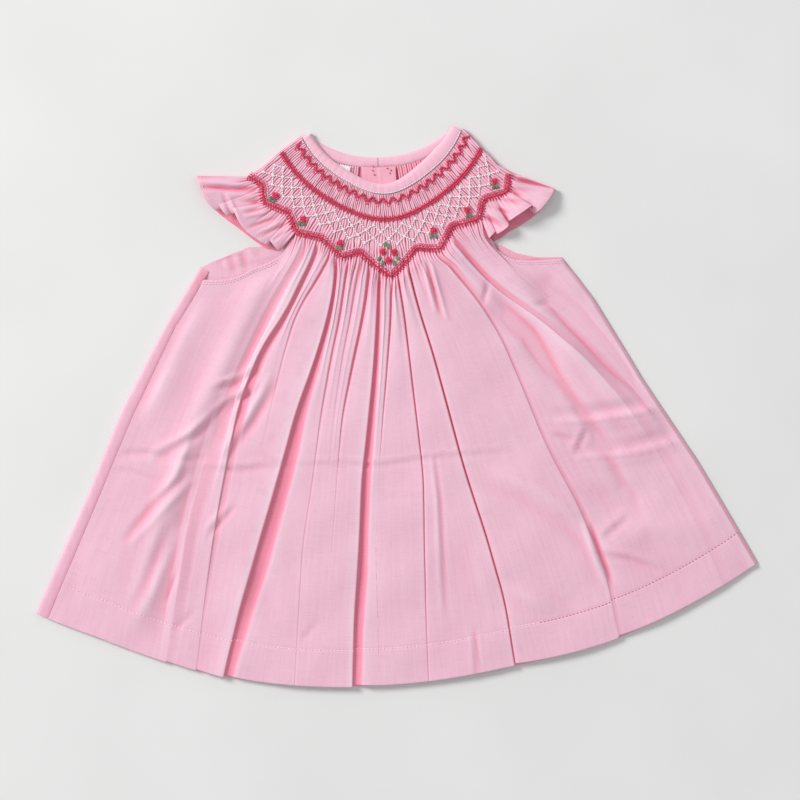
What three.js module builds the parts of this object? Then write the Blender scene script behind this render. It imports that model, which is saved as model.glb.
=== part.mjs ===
// A baby's smocked dress laid flat on its back, in millimetres, +Z up, resting on z = 0.
// X runs across the dress and Y toward the neck; the hem corners are at the ends of X.
import * as THREE from "three";

const GAP = 0.3;
const CLOTH = 1.4;          // wall of the front
const BACK_CLOTH = 1.3;     // wall of the two backs
const SLEEVE_CLOTH = 1.2;
const FRONT_LEVEL = 2.4;    // middle of the front's wall where it lies lowest
const YOKE_LEVEL = 3.7;     // middle of the smocked front's wall
const BACK_LEVEL = BACK_CLOTH / 2;
const RIB = 0.9;            // height of a smocked pleat
const RIB_TURN = 2.03;      // degrees from one smocked pleat to the next
const HEM_REACH = 528;
const HEM_DEPTH = 26;
const HEM_STEP = 0.3;

// The smocking fans from one centre and the skirt's folds from another, higher up.
const YOKE = { x: 9, y: 219 };
const APEX = { x: 0, y: 330 };

const rad = (turn) => (turn * Math.PI) / 180;
const deg = (angle) => (angle * 180) / Math.PI;
const mix = (a, b, t) => a + (b - a) * t;
const mixPoint = (a, b, t) => a.map((value, k) => mix(value, b[k], t));
const fan = (centre, turn, reach) => [
  centre.x + reach * Math.sin(rad(turn)),
  centre.y - reach * Math.cos(rad(turn)),
];
const turnOf = (centre, [x, y]) => deg(Math.atan2(x - centre.x, centre.y - y));
const reachOf = (centre, [x, y]) => Math.hypot(x - centre.x, centre.y - y);

// Reads a column of a table between its rows; `key` is the column the rows are sorted by.
function read(table, key, at, column) {
  const last = table.length - 1;
  if (at <= table[0][key]) return table[0][column];
  for (let i = 1; i <= last; i++) {
    if (at <= table[i][key]) {
      const span = table[i][key] - table[i - 1][key];
      return mix(table[i - 1][column], table[i][column], (at - table[i - 1][key]) / span);
    }
  }
  return table[last][column];
}

// A cloth wall: its middle surface as rows of points, seen from the face side with the
// rows running down and each row running left to right.
class Wall {
  constructor(thickness) {
    this.thickness = thickness;
    this.points = [];
    this.lift = [];
    this.under = [];
    this.faces = [];
  }

  point([x, y, z], lift = 0, under = 0) {
    this.points.push(new THREE.Vector3(x, y, z));
    this.lift.push(lift);
    this.under.push(under);
    return this.points.length - 1;
  }

  // Joins two rows that hold the same number of points.
  join(upper, lower) {
    for (let i = 0; i + 1 < upper.length; i++) {
      this.faces.push([upper[i], lower[i], lower[i + 1]]);
      this.faces.push([upper[i], lower[i + 1], upper[i + 1]]);
    }
  }

  // Joins two rows that hold different numbers of points, by their share of the length.
  zip(upper, lower) {
    const shares = (row) => {
      const along = [0];
      for (let i = 1; i < row.length; i++) {
        along.push(along[i - 1] + this.points[row[i]].distanceTo(this.points[row[i - 1]]));
      }
      return along.map((value) => value / along[along.length - 1]);
    };
    const upperShare = shares(upper);
    const lowerShare = shares(lower);
    let i = 0;
    let j = 0;
    while (i + 1 < upper.length || j + 1 < lower.length) {
      const nextUpper = i + 1 < upper.length ? upperShare[i + 1] : Infinity;
      const nextLower = j + 1 < lower.length ? lowerShare[j + 1] : Infinity;
      if (nextUpper <= nextLower) {
        this.faces.push([upper[i], lower[j], upper[i + 1]]);
        i++;
      } else {
        this.faces.push([upper[i], lower[j], lower[j + 1]]);
        j++;
      }
    }
  }

  mesh(name, color) {
    const count = this.points.length;
    const normals = this.points.map(() => new THREE.Vector3());
    const faceNormals = this.faces.map(([a, b, c]) => {
      const p = this.points[a];
      const side = new THREE.Vector3().subVectors(this.points[b], p);
      return side.cross(new THREE.Vector3().subVectors(this.points[c], p));
    });
    this.faces.forEach((face, k) => face.forEach((i) => normals[i].add(faceNormals[k])));
    normals.forEach((normal) => normal.normalize());
    const closeness = new Array(count).fill(0);
    const uses = new Array(count).fill(0);
    this.faces.forEach((face, k) => {
      const unit = faceNormals[k].clone().normalize();
      face.forEach((i) => {
        closeness[i] += Math.max(0, unit.dot(normals[i]));
        uses[i] += 1;
      });
    });
    const positions = [];
    const place = (i, side) => {
      const stretch = 1 / Math.max(0.75, closeness[i] / uses[i]);
      const raised = side > 0 ? this.lift[i] : this.under[i];
      const moved = normals[i].clone().multiplyScalar(side * ((this.thickness / 2) * stretch + raised));
      moved.add(this.points[i]);
      positions.push(moved.x, moved.y, Math.max(0, moved.z));
    };
    for (let i = 0; i < count; i++) place(i, 1);
    for (let i = 0; i < count; i++) place(i, -1);
    const index = [];
    const edges = new Map();
    for (const [a, b, c] of this.faces) {
      index.push(a, b, c, count + a, count + c, count + b);
      for (const [p, q] of [[a, b], [b, c], [c, a]]) edges.set(`${p}_${q}`, [p, q]);
    }
    for (const [p, q] of edges.values()) {
      if (edges.has(`${q}_${p}`)) continue;
      index.push(q, p, count + p, q, count + p, count + q);
    }
    const geometry = new THREE.BufferGeometry();
    geometry.setAttribute("position", new THREE.Float32BufferAttribute(positions, 3));
    geometry.setIndex(index);
    const mesh = new THREE.Mesh(geometry, new THREE.MeshStandardMaterial({ color, roughness: 0.8 }));
    mesh.name = name;
    return mesh;
  }
}

// Where the smocking starts at the neck: a round neckline with a shallow dip in front.
const neckReach = (turn) => 62.5 + 5.6 * Math.exp(-((turn / 21) ** 2));

// The smocking's lower edge: a row for each point and each notch between two points.
const BORDER = [
  { turn: -63.5, reach: 110.3 },
  { turn: -58.3, reach: 104.6 },
  { turn: -52.2, reach: 111.8 },
  { turn: -42.7, reach: 104.7 },
  { turn: -35.9, reach: 112.8 },
  { turn: -26.3, reach: 108 },
  { turn: -17, reach: 116.6 },
  { turn: -11.1, reach: 110.5 },
  { turn: 0, reach: 127.6 },
  { turn: 10.3, reach: 109.7 },
  { turn: 18.5, reach: 115.7 },
  { turn: 26.3, reach: 104.6 },
  { turn: 36.8, reach: 111.4 },
  { turn: 42.6, reach: 103 },
  { turn: 50.5, reach: 112.9 },
  { turn: 57.6, reach: 106.7 },
];
const borderReach = (turn) => read(BORDER, "turn", turn, "reach");

// Raglan seams: the turn at which the front meets each sleeve.
const SEAM_LEFT = -36;
const SEAM_RIGHT = 36.9;

// The folds of the skirt's front, from the photo's left. top, mid and hem are the turns
// of the dip at the smocking, half way down and at the hem; wide is the dip's width half
// way down; riseTop, riseMid and riseHem are the height of its crests.
const FOLD_STATIONS = { top: 230, mid: 370, hem: HEM_REACH };
const FOLDS = [
  { name: "side_soft", top: -21.5, mid: -23.2, hem: -21.6, wide: 14, riseTop: 1.2, riseMid: 2.8, riseHem: 1.4 },
  { name: "sleeve_side", top: -15.6, mid: -20.1, hem: -18.6, wide: 9, riseTop: 2.2, riseMid: 2.4, riseHem: 2.4 },
  { name: "deep_left", top: -11.2, mid: -17.9, hem: -16, wide: 9, riseTop: 4.4, riseMid: 3, riseHem: 1.3 },
  { name: "main_left", top: -7.6, mid: -11, hem: -13.8, wide: 9, riseTop: 4, riseMid: 4.6, riseHem: 4 },
  { name: "main_left_inner", top: -5.7, mid: -8.3, hem: -8.9, wide: 6, riseTop: 2.6, riseMid: 2.6, riseHem: 2 },
  { name: "thin_left", top: -3.6, mid: -6.8, hem: -7.4, wide: 4, riseTop: 2.8, riseMid: 2, riseHem: 1.5 },
  { name: "short_left", top: -2.1, mid: -5.6, hem: -5.9, wide: 4, riseTop: 2.8, riseMid: 2, riseHem: 1.4 },
  { name: "main_middle", top: -0.1, mid: -2.4, hem: -3.6, wide: 7, riseTop: 3.4, riseMid: 4, riseHem: 3.6 },
  { name: "thin_middle", top: 2, mid: -0.7, hem: -1.6, wide: 4, riseTop: 2.6, riseMid: 1.8, riseHem: 1.2 },
  { name: "thin_right", top: 3.4, mid: 3.6, hem: 2.2, wide: 6, riseTop: 2.6, riseMid: 2.4, riseHem: 1.2 },
  { name: "knife_right", top: 5.3, mid: 7.7, hem: 8.8, wide: 7, riseTop: 3.4, riseMid: 4, riseHem: 3.6 },
  { name: "soft_right", top: 8.7, mid: 9.5, hem: 12.1, wide: 5, riseTop: 2, riseMid: 1.6, riseHem: 1.2 },
  { name: "long_right", top: 10.9, mid: 17.3, hem: 17.1, wide: 10, riseTop: 3, riseMid: 2.6, riseHem: 2.6 },
  { name: "outer_right", top: 12.6, mid: 22.3, hem: 22.5, wide: 10, riseTop: 3.4, riseMid: 1.7, riseHem: 1 },
  { name: "deep_right", top: 14.6, mid: 25.9, hem: 27, wide: 9, riseTop: 4, riseMid: 1.5, riseHem: 1 },
  { name: "sleeve_right_side", top: 19.2, mid: 28.1, hem: 28.5, wide: 5, riseTop: 1.6, riseMid: 1, riseHem: 0.6 },
];
const ROW_SHARES = [0, 0.07, 0.17, 0.28, 0.4, 0.53, 0.66, 0.78, 0.89];
const TOP_NARROWING = 0.55;
const FAR_CREST = 0.75;
const PANEL_SAG = 0.5;
const BROAD_PANEL = 24;

// A smooth run through the three stations of a fold.
function alongFold(top, mid, hem, reach) {
  const { top: a, mid: b, hem: c } = FOLD_STATIONS;
  const r = Math.max(reach, a - 25);
  return (
    (top * (r - b) * (r - c)) / ((a - b) * (a - c)) +
    (mid * (r - a) * (r - c)) / ((b - a) * (b - c)) +
    (hem * (r - a) * (r - b)) / ((c - a) * (c - b))
  );
}
function rise(fold, reach) {
  const { top, mid, hem } = FOLD_STATIONS;
  if (reach < mid) return mix(fold.riseTop, fold.riseMid, Math.max(0, (reach - top) / (mid - top)));
  return mix(fold.riseMid, fold.riseHem, (reach - mid) / (hem - mid));
}

// Side edges of the skirt by reach: the front's left seam, the back's left fold and the
// right edge that both share.
const SIDES = [
  { reach: 234, seamLeft: -27.6, foldLeft: -29.2, right: 29.4 },
  { reach: 262, seamLeft: -28.2, foldLeft: -29.7, right: 29.7 },
  { reach: 303, seamLeft: -29.1, foldLeft: -30.3, right: 30.2 },
  { reach: 370, seamLeft: -29.1, foldLeft: -30.4, right: 29.8 },
  { reach: 440, seamLeft: -28.6, foldLeft: -29.6, right: 29.9 },
  { reach: 530, seamLeft: -28.2, foldLeft: -29.2, right: 29.4 },
];
const HEM = [
  { turn: -29.2, reach: 530.4 },
  { turn: -24, reach: 528.6 },
  { turn: -14, reach: 532 },
  { turn: -4, reach: 530.2 },
  { turn: 8, reach: 526.6 },
  { turn: 16.5, reach: 529 },
  { turn: 29.4, reach: 525.7 },
];
const hemReach = (turn) => read(HEM, "turn", turn, "reach");

// Armhole edges of the front and of the backs, by turn about the skirt's centre.
const FRONT_ARMHOLE_LEFT = [
  { turn: -27.6, reach: 262.8 },
  { turn: -25.2, reach: 257.4 },
  { turn: -23.2, reach: 251 },
  { turn: -21.3, reach: 242.1 },
  { turn: -19.1, reach: 234.9 },
  { turn: -17.2, reach: 227 },
];
const FRONT_ARMHOLE_RIGHT = [
  { turn: 20.9, reach: 237.5 },
  { turn: 21.9, reach: 245.4 },
  { turn: 23, reach: 251 },
  { turn: 25.1, reach: 256.5 },
  { turn: 29.6, reach: 267 },
];
const BACK_ARMHOLE_LEFT = [
  { turn: -29.1, reach: 256.5 },
  { turn: -27.9, reach: 248.7 },
  { turn: -25.8, reach: 238.5 },
  { turn: -23.6, reach: 230 },
  { turn: -21.2, reach: 226.3 },
  { turn: -17.9, reach: 226 },
];
const BACK_ARMHOLE_RIGHT = [
  { turn: 20.4, reach: 233 },
  { turn: 21.9, reach: 236.5 },
  { turn: 23.7, reach: 247 },
  { turn: 26.4, reach: 257 },
  { turn: 29.6, reach: 266 },
];

function frontPanel() {
  const wall = new Wall(CLOTH);
  const ribs = Math.round((SEAM_RIGHT - SEAM_LEFT) / RIB_TURN);
  const columns = 2 * ribs;
  const yokeShares = [0, 0.2, 0.6, 1];
  const yokeRows = yokeShares.map((share) => {
    const row = [];
    for (let i = 0; i <= columns; i++) {
      const turn = mix(SEAM_LEFT, SEAM_RIGHT, i / columns);
      const reach = mix(neckReach(turn), borderReach(turn), share);
      row.push(wall.point([...fan(YOKE, turn, reach), YOKE_LEVEL], (i % 2) * RIB));
    }
    return row;
  });
  for (let k = 1; k < yokeRows.length; k++) wall.join(yokeRows[k - 1], yokeRows[k]);

  // The skirt's upper edge: armhole, a little below the smocking, armhole.
  const RELEASE = 6;
  const border = [];
  for (let i = 0; i <= columns; i++) {
    const turn = mix(SEAM_LEFT, SEAM_RIGHT, i / columns);
    const plan = fan(YOKE, turn, borderReach(turn));
    border.push({ turn: turnOf(APEX, plan), reach: reachOf(APEX, plan) + RELEASE });
  }
  const upperEdge = [...FRONT_ARMHOLE_LEFT, ...border, ...FRONT_ARMHOLE_RIGHT];
  const firstShare = border[0].turn;
  const lastShare = border[columns].turn;

  // Columns: the side seams, the crest, dip and crest of each fold, and the panels between.
  const lines = [];
  const seam = (reach) => read(SIDES, "reach", reach, "seamLeft");
  const rightEdge = (reach) => read(SIDES, "reach", reach, "right");
  const SEAM_FLAT = 4;
  lines.push({ at: seam, height: () => 0 });
  lines.push({ at: (reach) => seam(reach) + deg(SEAM_FLAT / reach), height: () => 0 });
  const foldLines = FOLDS.map((fold) => {
    const dip = (reach) => alongFold(fold.top, fold.mid, fold.hem, reach);
    const half = (reach) => {
      const narrow = Math.min(1, mix(TOP_NARROWING, 1, (reach - FOLD_STATIONS.top) / 140));
      return deg((fold.wide * narrow) / 2 / reach);
    };
    return {
      left: { at: (reach) => dip(reach) - half(reach), height: (reach) => rise(fold, reach) },
      dip: { at: dip, height: () => 0 },
      right: { at: (reach) => dip(reach) + half(reach), height: (reach) => FAR_CREST * rise(fold, reach) },
    };
  });
  const between = (a, b, share) => ({
    at: (reach) => mix(a.at(reach), b.at(reach), share),
    height: (reach) => mix(a.height(reach), b.height(reach), share) * PANEL_SAG,
  });
  let previous = lines[1];
  for (const fold of foldLines) {
    const middle = FOLD_STATIONS.mid;
    const broad = rad(fold.left.at(middle) - previous.at(middle)) * middle;
    const shares = broad > 2 * BROAD_PANEL ? [0.25, 0.5, 0.75] : broad > BROAD_PANEL ? [0.33, 0.67] : [0.5];
    for (const share of shares) lines.push(between(previous, fold.left, share));
    lines.push(fold.left, fold.dip, fold.right);
    previous = fold.right;
  }
  const edge = { at: rightEdge, height: () => 0 };
  const besideEdge = { at: (reach) => rightEdge(reach) - deg(SEAM_FLAT / reach), height: () => 0 };
  lines.push(between(previous, besideEdge, 0.5), besideEdge, edge);

  const rows = ROW_SHARES.map(() => []);
  const hemRows = [[], [], []];
  const topTurns = [];
  for (const line of lines) {
    let turn = line.at(FOLD_STATIONS.top);
    let start = read(upperEdge, "turn", turn, "reach");
    for (let k = 0; k < 6; k++) {
      turn = line.at(start);
      start = read(upperEdge, "turn", turn, "reach");
    }
    topTurns.push(turn);
    const end = hemReach(line.at(HEM_REACH));
    const put = (reach, lift) => {
      const plan = fan(APEX, line.at(reach), reach);
      return wall.point([...plan, FRONT_LEVEL + line.height(reach)], lift);
    };
    const length = end - HEM_DEPTH - start;
    ROW_SHARES.forEach((share, k) => rows[k].push(put(start + length * share, 0)));
    hemRows[0].push(put(end - HEM_DEPTH, 0));
    hemRows[1].push(put(end - HEM_DEPTH + 1.2, HEM_STEP));
    hemRows[2].push(put(end, HEM_STEP));
  }
  const all = [...rows, ...hemRows];
  for (let k = 1; k < all.length; k++) wall.join(all[k - 1], all[k]);
  const inside = rows[0].filter((_, i) => topTurns[i] > firstShare && topTurns[i] < lastShare);
  wall.zip(yokeRows[yokeRows.length - 1], inside);
  return wall.mesh("front", 0xf3c2d6);
}

// The bias strip round the back of the neck, by the X of its upper edge.
function backBand(x) {
  const NECK_MIDDLE = 8;
  const HALF_NECK = 54;
  const out = Math.abs(x - NECK_MIDDLE) / HALF_NECK;
  const side = Math.sign(x - NECK_MIDDLE) || 1;
  const y = 178 + 20 * out ** 2.2;
  const slope = (side * 20 * 2.2 * out ** 1.2) / HALF_NECK;
  const length = Math.hypot(slope, 1);
  const normal = [slope / length, -1 / length];
  const wide = mix(6.3, 7.4, Math.min(1, out));
  const along = (distance) => [x + normal[0] * distance, y + normal[1] * distance];
  return { upper: along(0), along, wide, lower: along(wide), beyond: along(wide + GAP + 0.15) };
}
const CENTRE_BACK = 4.6;
const PLACKET = { left: -7.2, right: 16.5, lowest: 107 };
const BACK_SEAM = {
  left: { x: -33, corner: [-69.3, 114.9] },
  right: { x: 49, corner: fan(APEX, 20.4, 233) },
};

// How far down the left side seam each row of the front lies.
function seamReaches() {
  const start = FRONT_ARMHOLE_LEFT[0].reach;
  const end = hemReach(read(SIDES, "reach", HEM_REACH, "seamLeft"));
  const upper = ROW_SHARES.map((share) => mix(start, end - HEM_DEPTH, share));
  return [...upper, end - HEM_DEPTH, end];
}

function backPanel(side) {
  const wall = new Wall(BACK_CLOTH);
  const sign = side === "left" ? -1 : 1;
  const centre = CENTRE_BACK + (sign * GAP) / 2;
  const stripEdge = side === "left" ? PLACKET.left - 0.5 : PLACKET.right + 0.5;
  const seamTop = backBand(BACK_SEAM[side].x).beyond;
  const corner = BACK_SEAM[side].corner;
  const SMOCKED = 24;
  const seamLength = Math.hypot(corner[0] - seamTop[0], corner[1] - seamTop[1]);
  const seamWay = [(corner[0] - seamTop[0]) / seamLength, (corner[1] - seamTop[1]) / seamLength];
  // Upper band, pleated from the placket to the sleeve seam.
  const stations = [];
  const pleats = Math.round(Math.abs(BACK_SEAM[side].x - stripEdge) / 3.1);
  stations.push({ x: centre, lift: 0 });
  stations.push({ x: stripEdge, lift: 0 });
  for (let i = 1; i <= 2 * pleats; i++) {
    stations.push({ x: mix(stripEdge, BACK_SEAM[side].x, i / (2 * pleats)), lift: (i % 2) * 0.6 });
  }
  const bandRow = (distance) =>
    stations.map((station, i) => {
      // The pleats fan from straight down at the centre to the slope of the sleeve seam.
      const top = backBand(station.x).beyond;
      const share = Math.abs((station.x - centre) / (BACK_SEAM[side].x - centre));
      const way = i === stations.length - 1 ? seamWay : mixPoint([0, -1], seamWay, share);
      return { plan: [top[0] + way[0] * distance, top[1] + way[1] * distance], lift: station.lift };
    });
  const put = ({ plan, lift = 0, z = BACK_LEVEL }) => wall.point([...plan, z], 0, lift);
  // Seen from the face side, below, the left half runs from the centre out and the right half in.
  const order = (row) => (side === "left" ? row : [...row].reverse());
  const band = [0, SMOCKED].map((distance) => order(bandRow(distance)).map(put));
  wall.join(band[0], band[1]);

  // The flat skirt below, by turn about the skirt's centre.
  const lower = bandRow(SMOCKED + 3).map(({ plan }) => ({ turn: turnOf(APEX, plan), reach: reachOf(APEX, plan) }));
  const armhole = side === "left" ? BACK_ARMHOLE_LEFT : BACK_ARMHOLE_RIGHT;
  const cornerRow = { turn: turnOf(APEX, corner), reach: reachOf(APEX, corner) };
  const halfWay = mixPoint(bandRow(SMOCKED + 3)[stations.length - 1].plan, corner, 0.5);
  const halfRow = { turn: turnOf(APEX, halfWay), reach: reachOf(APEX, halfWay) };
  const upperEdge = [...lower, halfRow, cornerRow, ...armhole.filter((row) => Math.abs(row.turn) > Math.abs(cornerRow.turn))]
    .sort((a, b) => a.turn - b.turn);
  const seamTurn = lower[lower.length - 1].turn;
  const sideTurn = (reach) => read(SIDES, "reach", reach, side === "left" ? "foldLeft" : "right");
  const turns = [];
  for (let i = 1; i <= 5; i++) turns.push((seamTurn * i) / 5);
  turns.push(halfRow.turn, cornerRow.turn);
  armhole.map((row) => row.turn).sort((a, b) => Math.abs(a) - Math.abs(b)).forEach((turn) => {
    if (Math.abs(turn) > Math.abs(cornerRow.turn) + 0.5 && Math.abs(turn) < 29) turns.push(turn);
  });
  // The left back has the rows of the front, so that the side seam matches all the way.
  const downShares = side === "left" ? [...ROW_SHARES.map((share) => share * 0.9), 0.905, 1] : [0, 0.25, 0.5, 0.75, 1];
  const rows = [];
  downShares.forEach((downShare, k) => {
    const row = [];
    const centreY = mix(APEX.y - lower[0].reach, APEX.y - hemReach(0), downShare);
    row.push({ plan: [centre, centreY] });
    for (const turn of turns) {
      const start = read(upperEdge, "turn", turn, "reach");
      const reach = mix(start, hemReach(turn), downShare);
      row.push({ plan: fan(APEX, turn, reach) });
    }
    const sideStart = read(upperEdge, "turn", sideTurn(262), "reach");
    let sideReach = mix(sideStart, hemReach(sideTurn(HEM_REACH)), downShare);
    if (side === "left" && k > 0) sideReach = seamReaches()[k];
    const edge = sideTurn(sideReach);
    if (side === "right") {
      row.push({ plan: fan(APEX, edge, sideReach) });
    } else {
      // Round the left side and on to the side seam, lying on top.
      const seam = read(SIDES, "reach", sideReach, "seamLeft");
      const TURN_RADIUS = 0.95;
      const topLevel = BACK_LEVEL + 2 * TURN_RADIUS;
      const inward = deg((BACK_CLOTH / 2 + TURN_RADIUS) / sideReach);
      for (const bend of [0, 45, 90, 135, 180]) {
        const out = deg((TURN_RADIUS * Math.sin(rad(bend))) / sideReach);
        const z = BACK_LEVEL + TURN_RADIUS * (1 - Math.cos(rad(bend)));
        row.push({ plan: fan(APEX, edge + inward - out, sideReach), z });
      }
      row.push({ plan: fan(APEX, seam - deg(GAP / sideReach), sideReach), z: topLevel });
    }
    rows.push(order(row).map(put));
  });
  for (let k = 1; k < rows.length; k++) wall.join(rows[k - 1], rows[k]);
  const shared = side === "left" ? rows[0].slice(0, 6) : rows[0].slice(-6);
  wall.zip(band[1], shared);
  return wall.mesh(`back_${side}`, 0xe3a4bd);
}

// The flutter sleeves. seam is the turn of the front seam; shoulder the fold line over the
// shoulder, by reach; hem the front hem from the shoulder's tip to the seam, each row with
// the turn its line leaves the smocking at; under the hem of the back half, from the tip.
const SLEEVES = {
  left: {
    seam: SEAM_LEFT - 0.3,
    shoulder: [
      { reach: 63, turn: -68.7 },
      { reach: 98, turn: -63.5 },
      { reach: 111, turn: -63.5 },
    ],
    tip: { x: -124.9, y: 172.9, z: 4.6 },
    hem: [
      { turn: -62.6, x: -124.6, y: 169.5, z: 6.4 },
      { turn: -61.6, x: -122.4, y: 166, z: 4.3 },
      { turn: -60.4, x: -122.6, y: 163, z: 6.8 },
      { turn: -58.8, x: -120.4, y: 156.5, z: 8.2 },
      { turn: -57, x: -116.4, y: 150.2, z: 6.6 },
      { turn: -55.6, x: -112.2, y: 148.8, z: 4.2 },
      { turn: -54, x: -111.2, y: 144.9, z: 7.6 },
      { turn: -52.2, x: -104.2, y: 139.4, z: 7.8 },
      { turn: -50.6, x: -101, y: 139.6, z: 4.4 },
      { turn: -49.2, x: -98, y: 138.4, z: 8.4 },
      { turn: -47.4, x: -94.2, y: 134.6, z: 9 },
      { turn: -45, x: -88.4, y: 128.4, z: 7.6 },
      { turn: -42.6, x: -80.8, y: 123.2, z: 6 },
      { turn: -40.4, x: -76.2, y: 120.2, z: 4.3 },
      { turn: -38.4, x: -73, y: 117.6, z: 6.2 },
      { turn: -36.3, x: -69.9, y: 115.2, z: 4.2 },
    ],
    under: [
      { x: -122.6, y: 164.6 },
      { x: -118.2, y: 155.8 },
      { x: -113, y: 147.6 },
      { x: -104.4, y: 140.6 },
      { x: -94.6, y: 132 },
      { x: -84.6, y: 122.6 },
      { x: -72.4, y: 116.2 },
    ],
  },
  right: {
    seam: SEAM_RIGHT + 0.3,
    shoulder: [
      { reach: 63, turn: 67.3 },
      { reach: 79, turn: 61.2 },
      { reach: 96, turn: 57.6 },
      { reach: 107, turn: 57.6 },
    ],
    tip: { x: 129, y: 148.4, z: 4.8 },
    hem: [
      { turn: 56.4, x: 128, y: 145.4, z: 8.6 },
      { turn: 55.2, x: 126, y: 142.8, z: 5 },
      { turn: 54, x: 123.4, y: 138.6, z: 8.4 },
      { turn: 52.4, x: 116.6, y: 130.4, z: 5.6 },
      { turn: 50.9, x: 113.6, y: 134.6, z: 11.4 },
      { turn: 49, x: 105.8, y: 131.4, z: 12.4 },
      { turn: 46.8, x: 98.6, y: 127.4, z: 10.6 },
      { turn: 45.2, x: 96.4, y: 124.6, z: 5.2 },
      { turn: 43.6, x: 95.4, y: 121.8, z: 9 },
      { turn: 41.6, x: 90.8, y: 120.2, z: 8.4 },
      { turn: 40, x: 89.4, y: 119.2, z: 4.4 },
      { turn: 38.6, x: 86.4, y: 117.4, z: 5.8 },
      { turn: 37.2, x: 83.4, y: 114.9, z: 4.8 },
    ],
    under: [
      { x: 124.4, y: 140.8 },
      { x: 118.2, y: 133.4 },
      { x: 111.4, y: 128.4 },
      { x: 103.4, y: 124.2 },
      { x: 95, y: 119.4 },
      { x: 88.4, y: 114.6 },
    ],
  },
};

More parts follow.
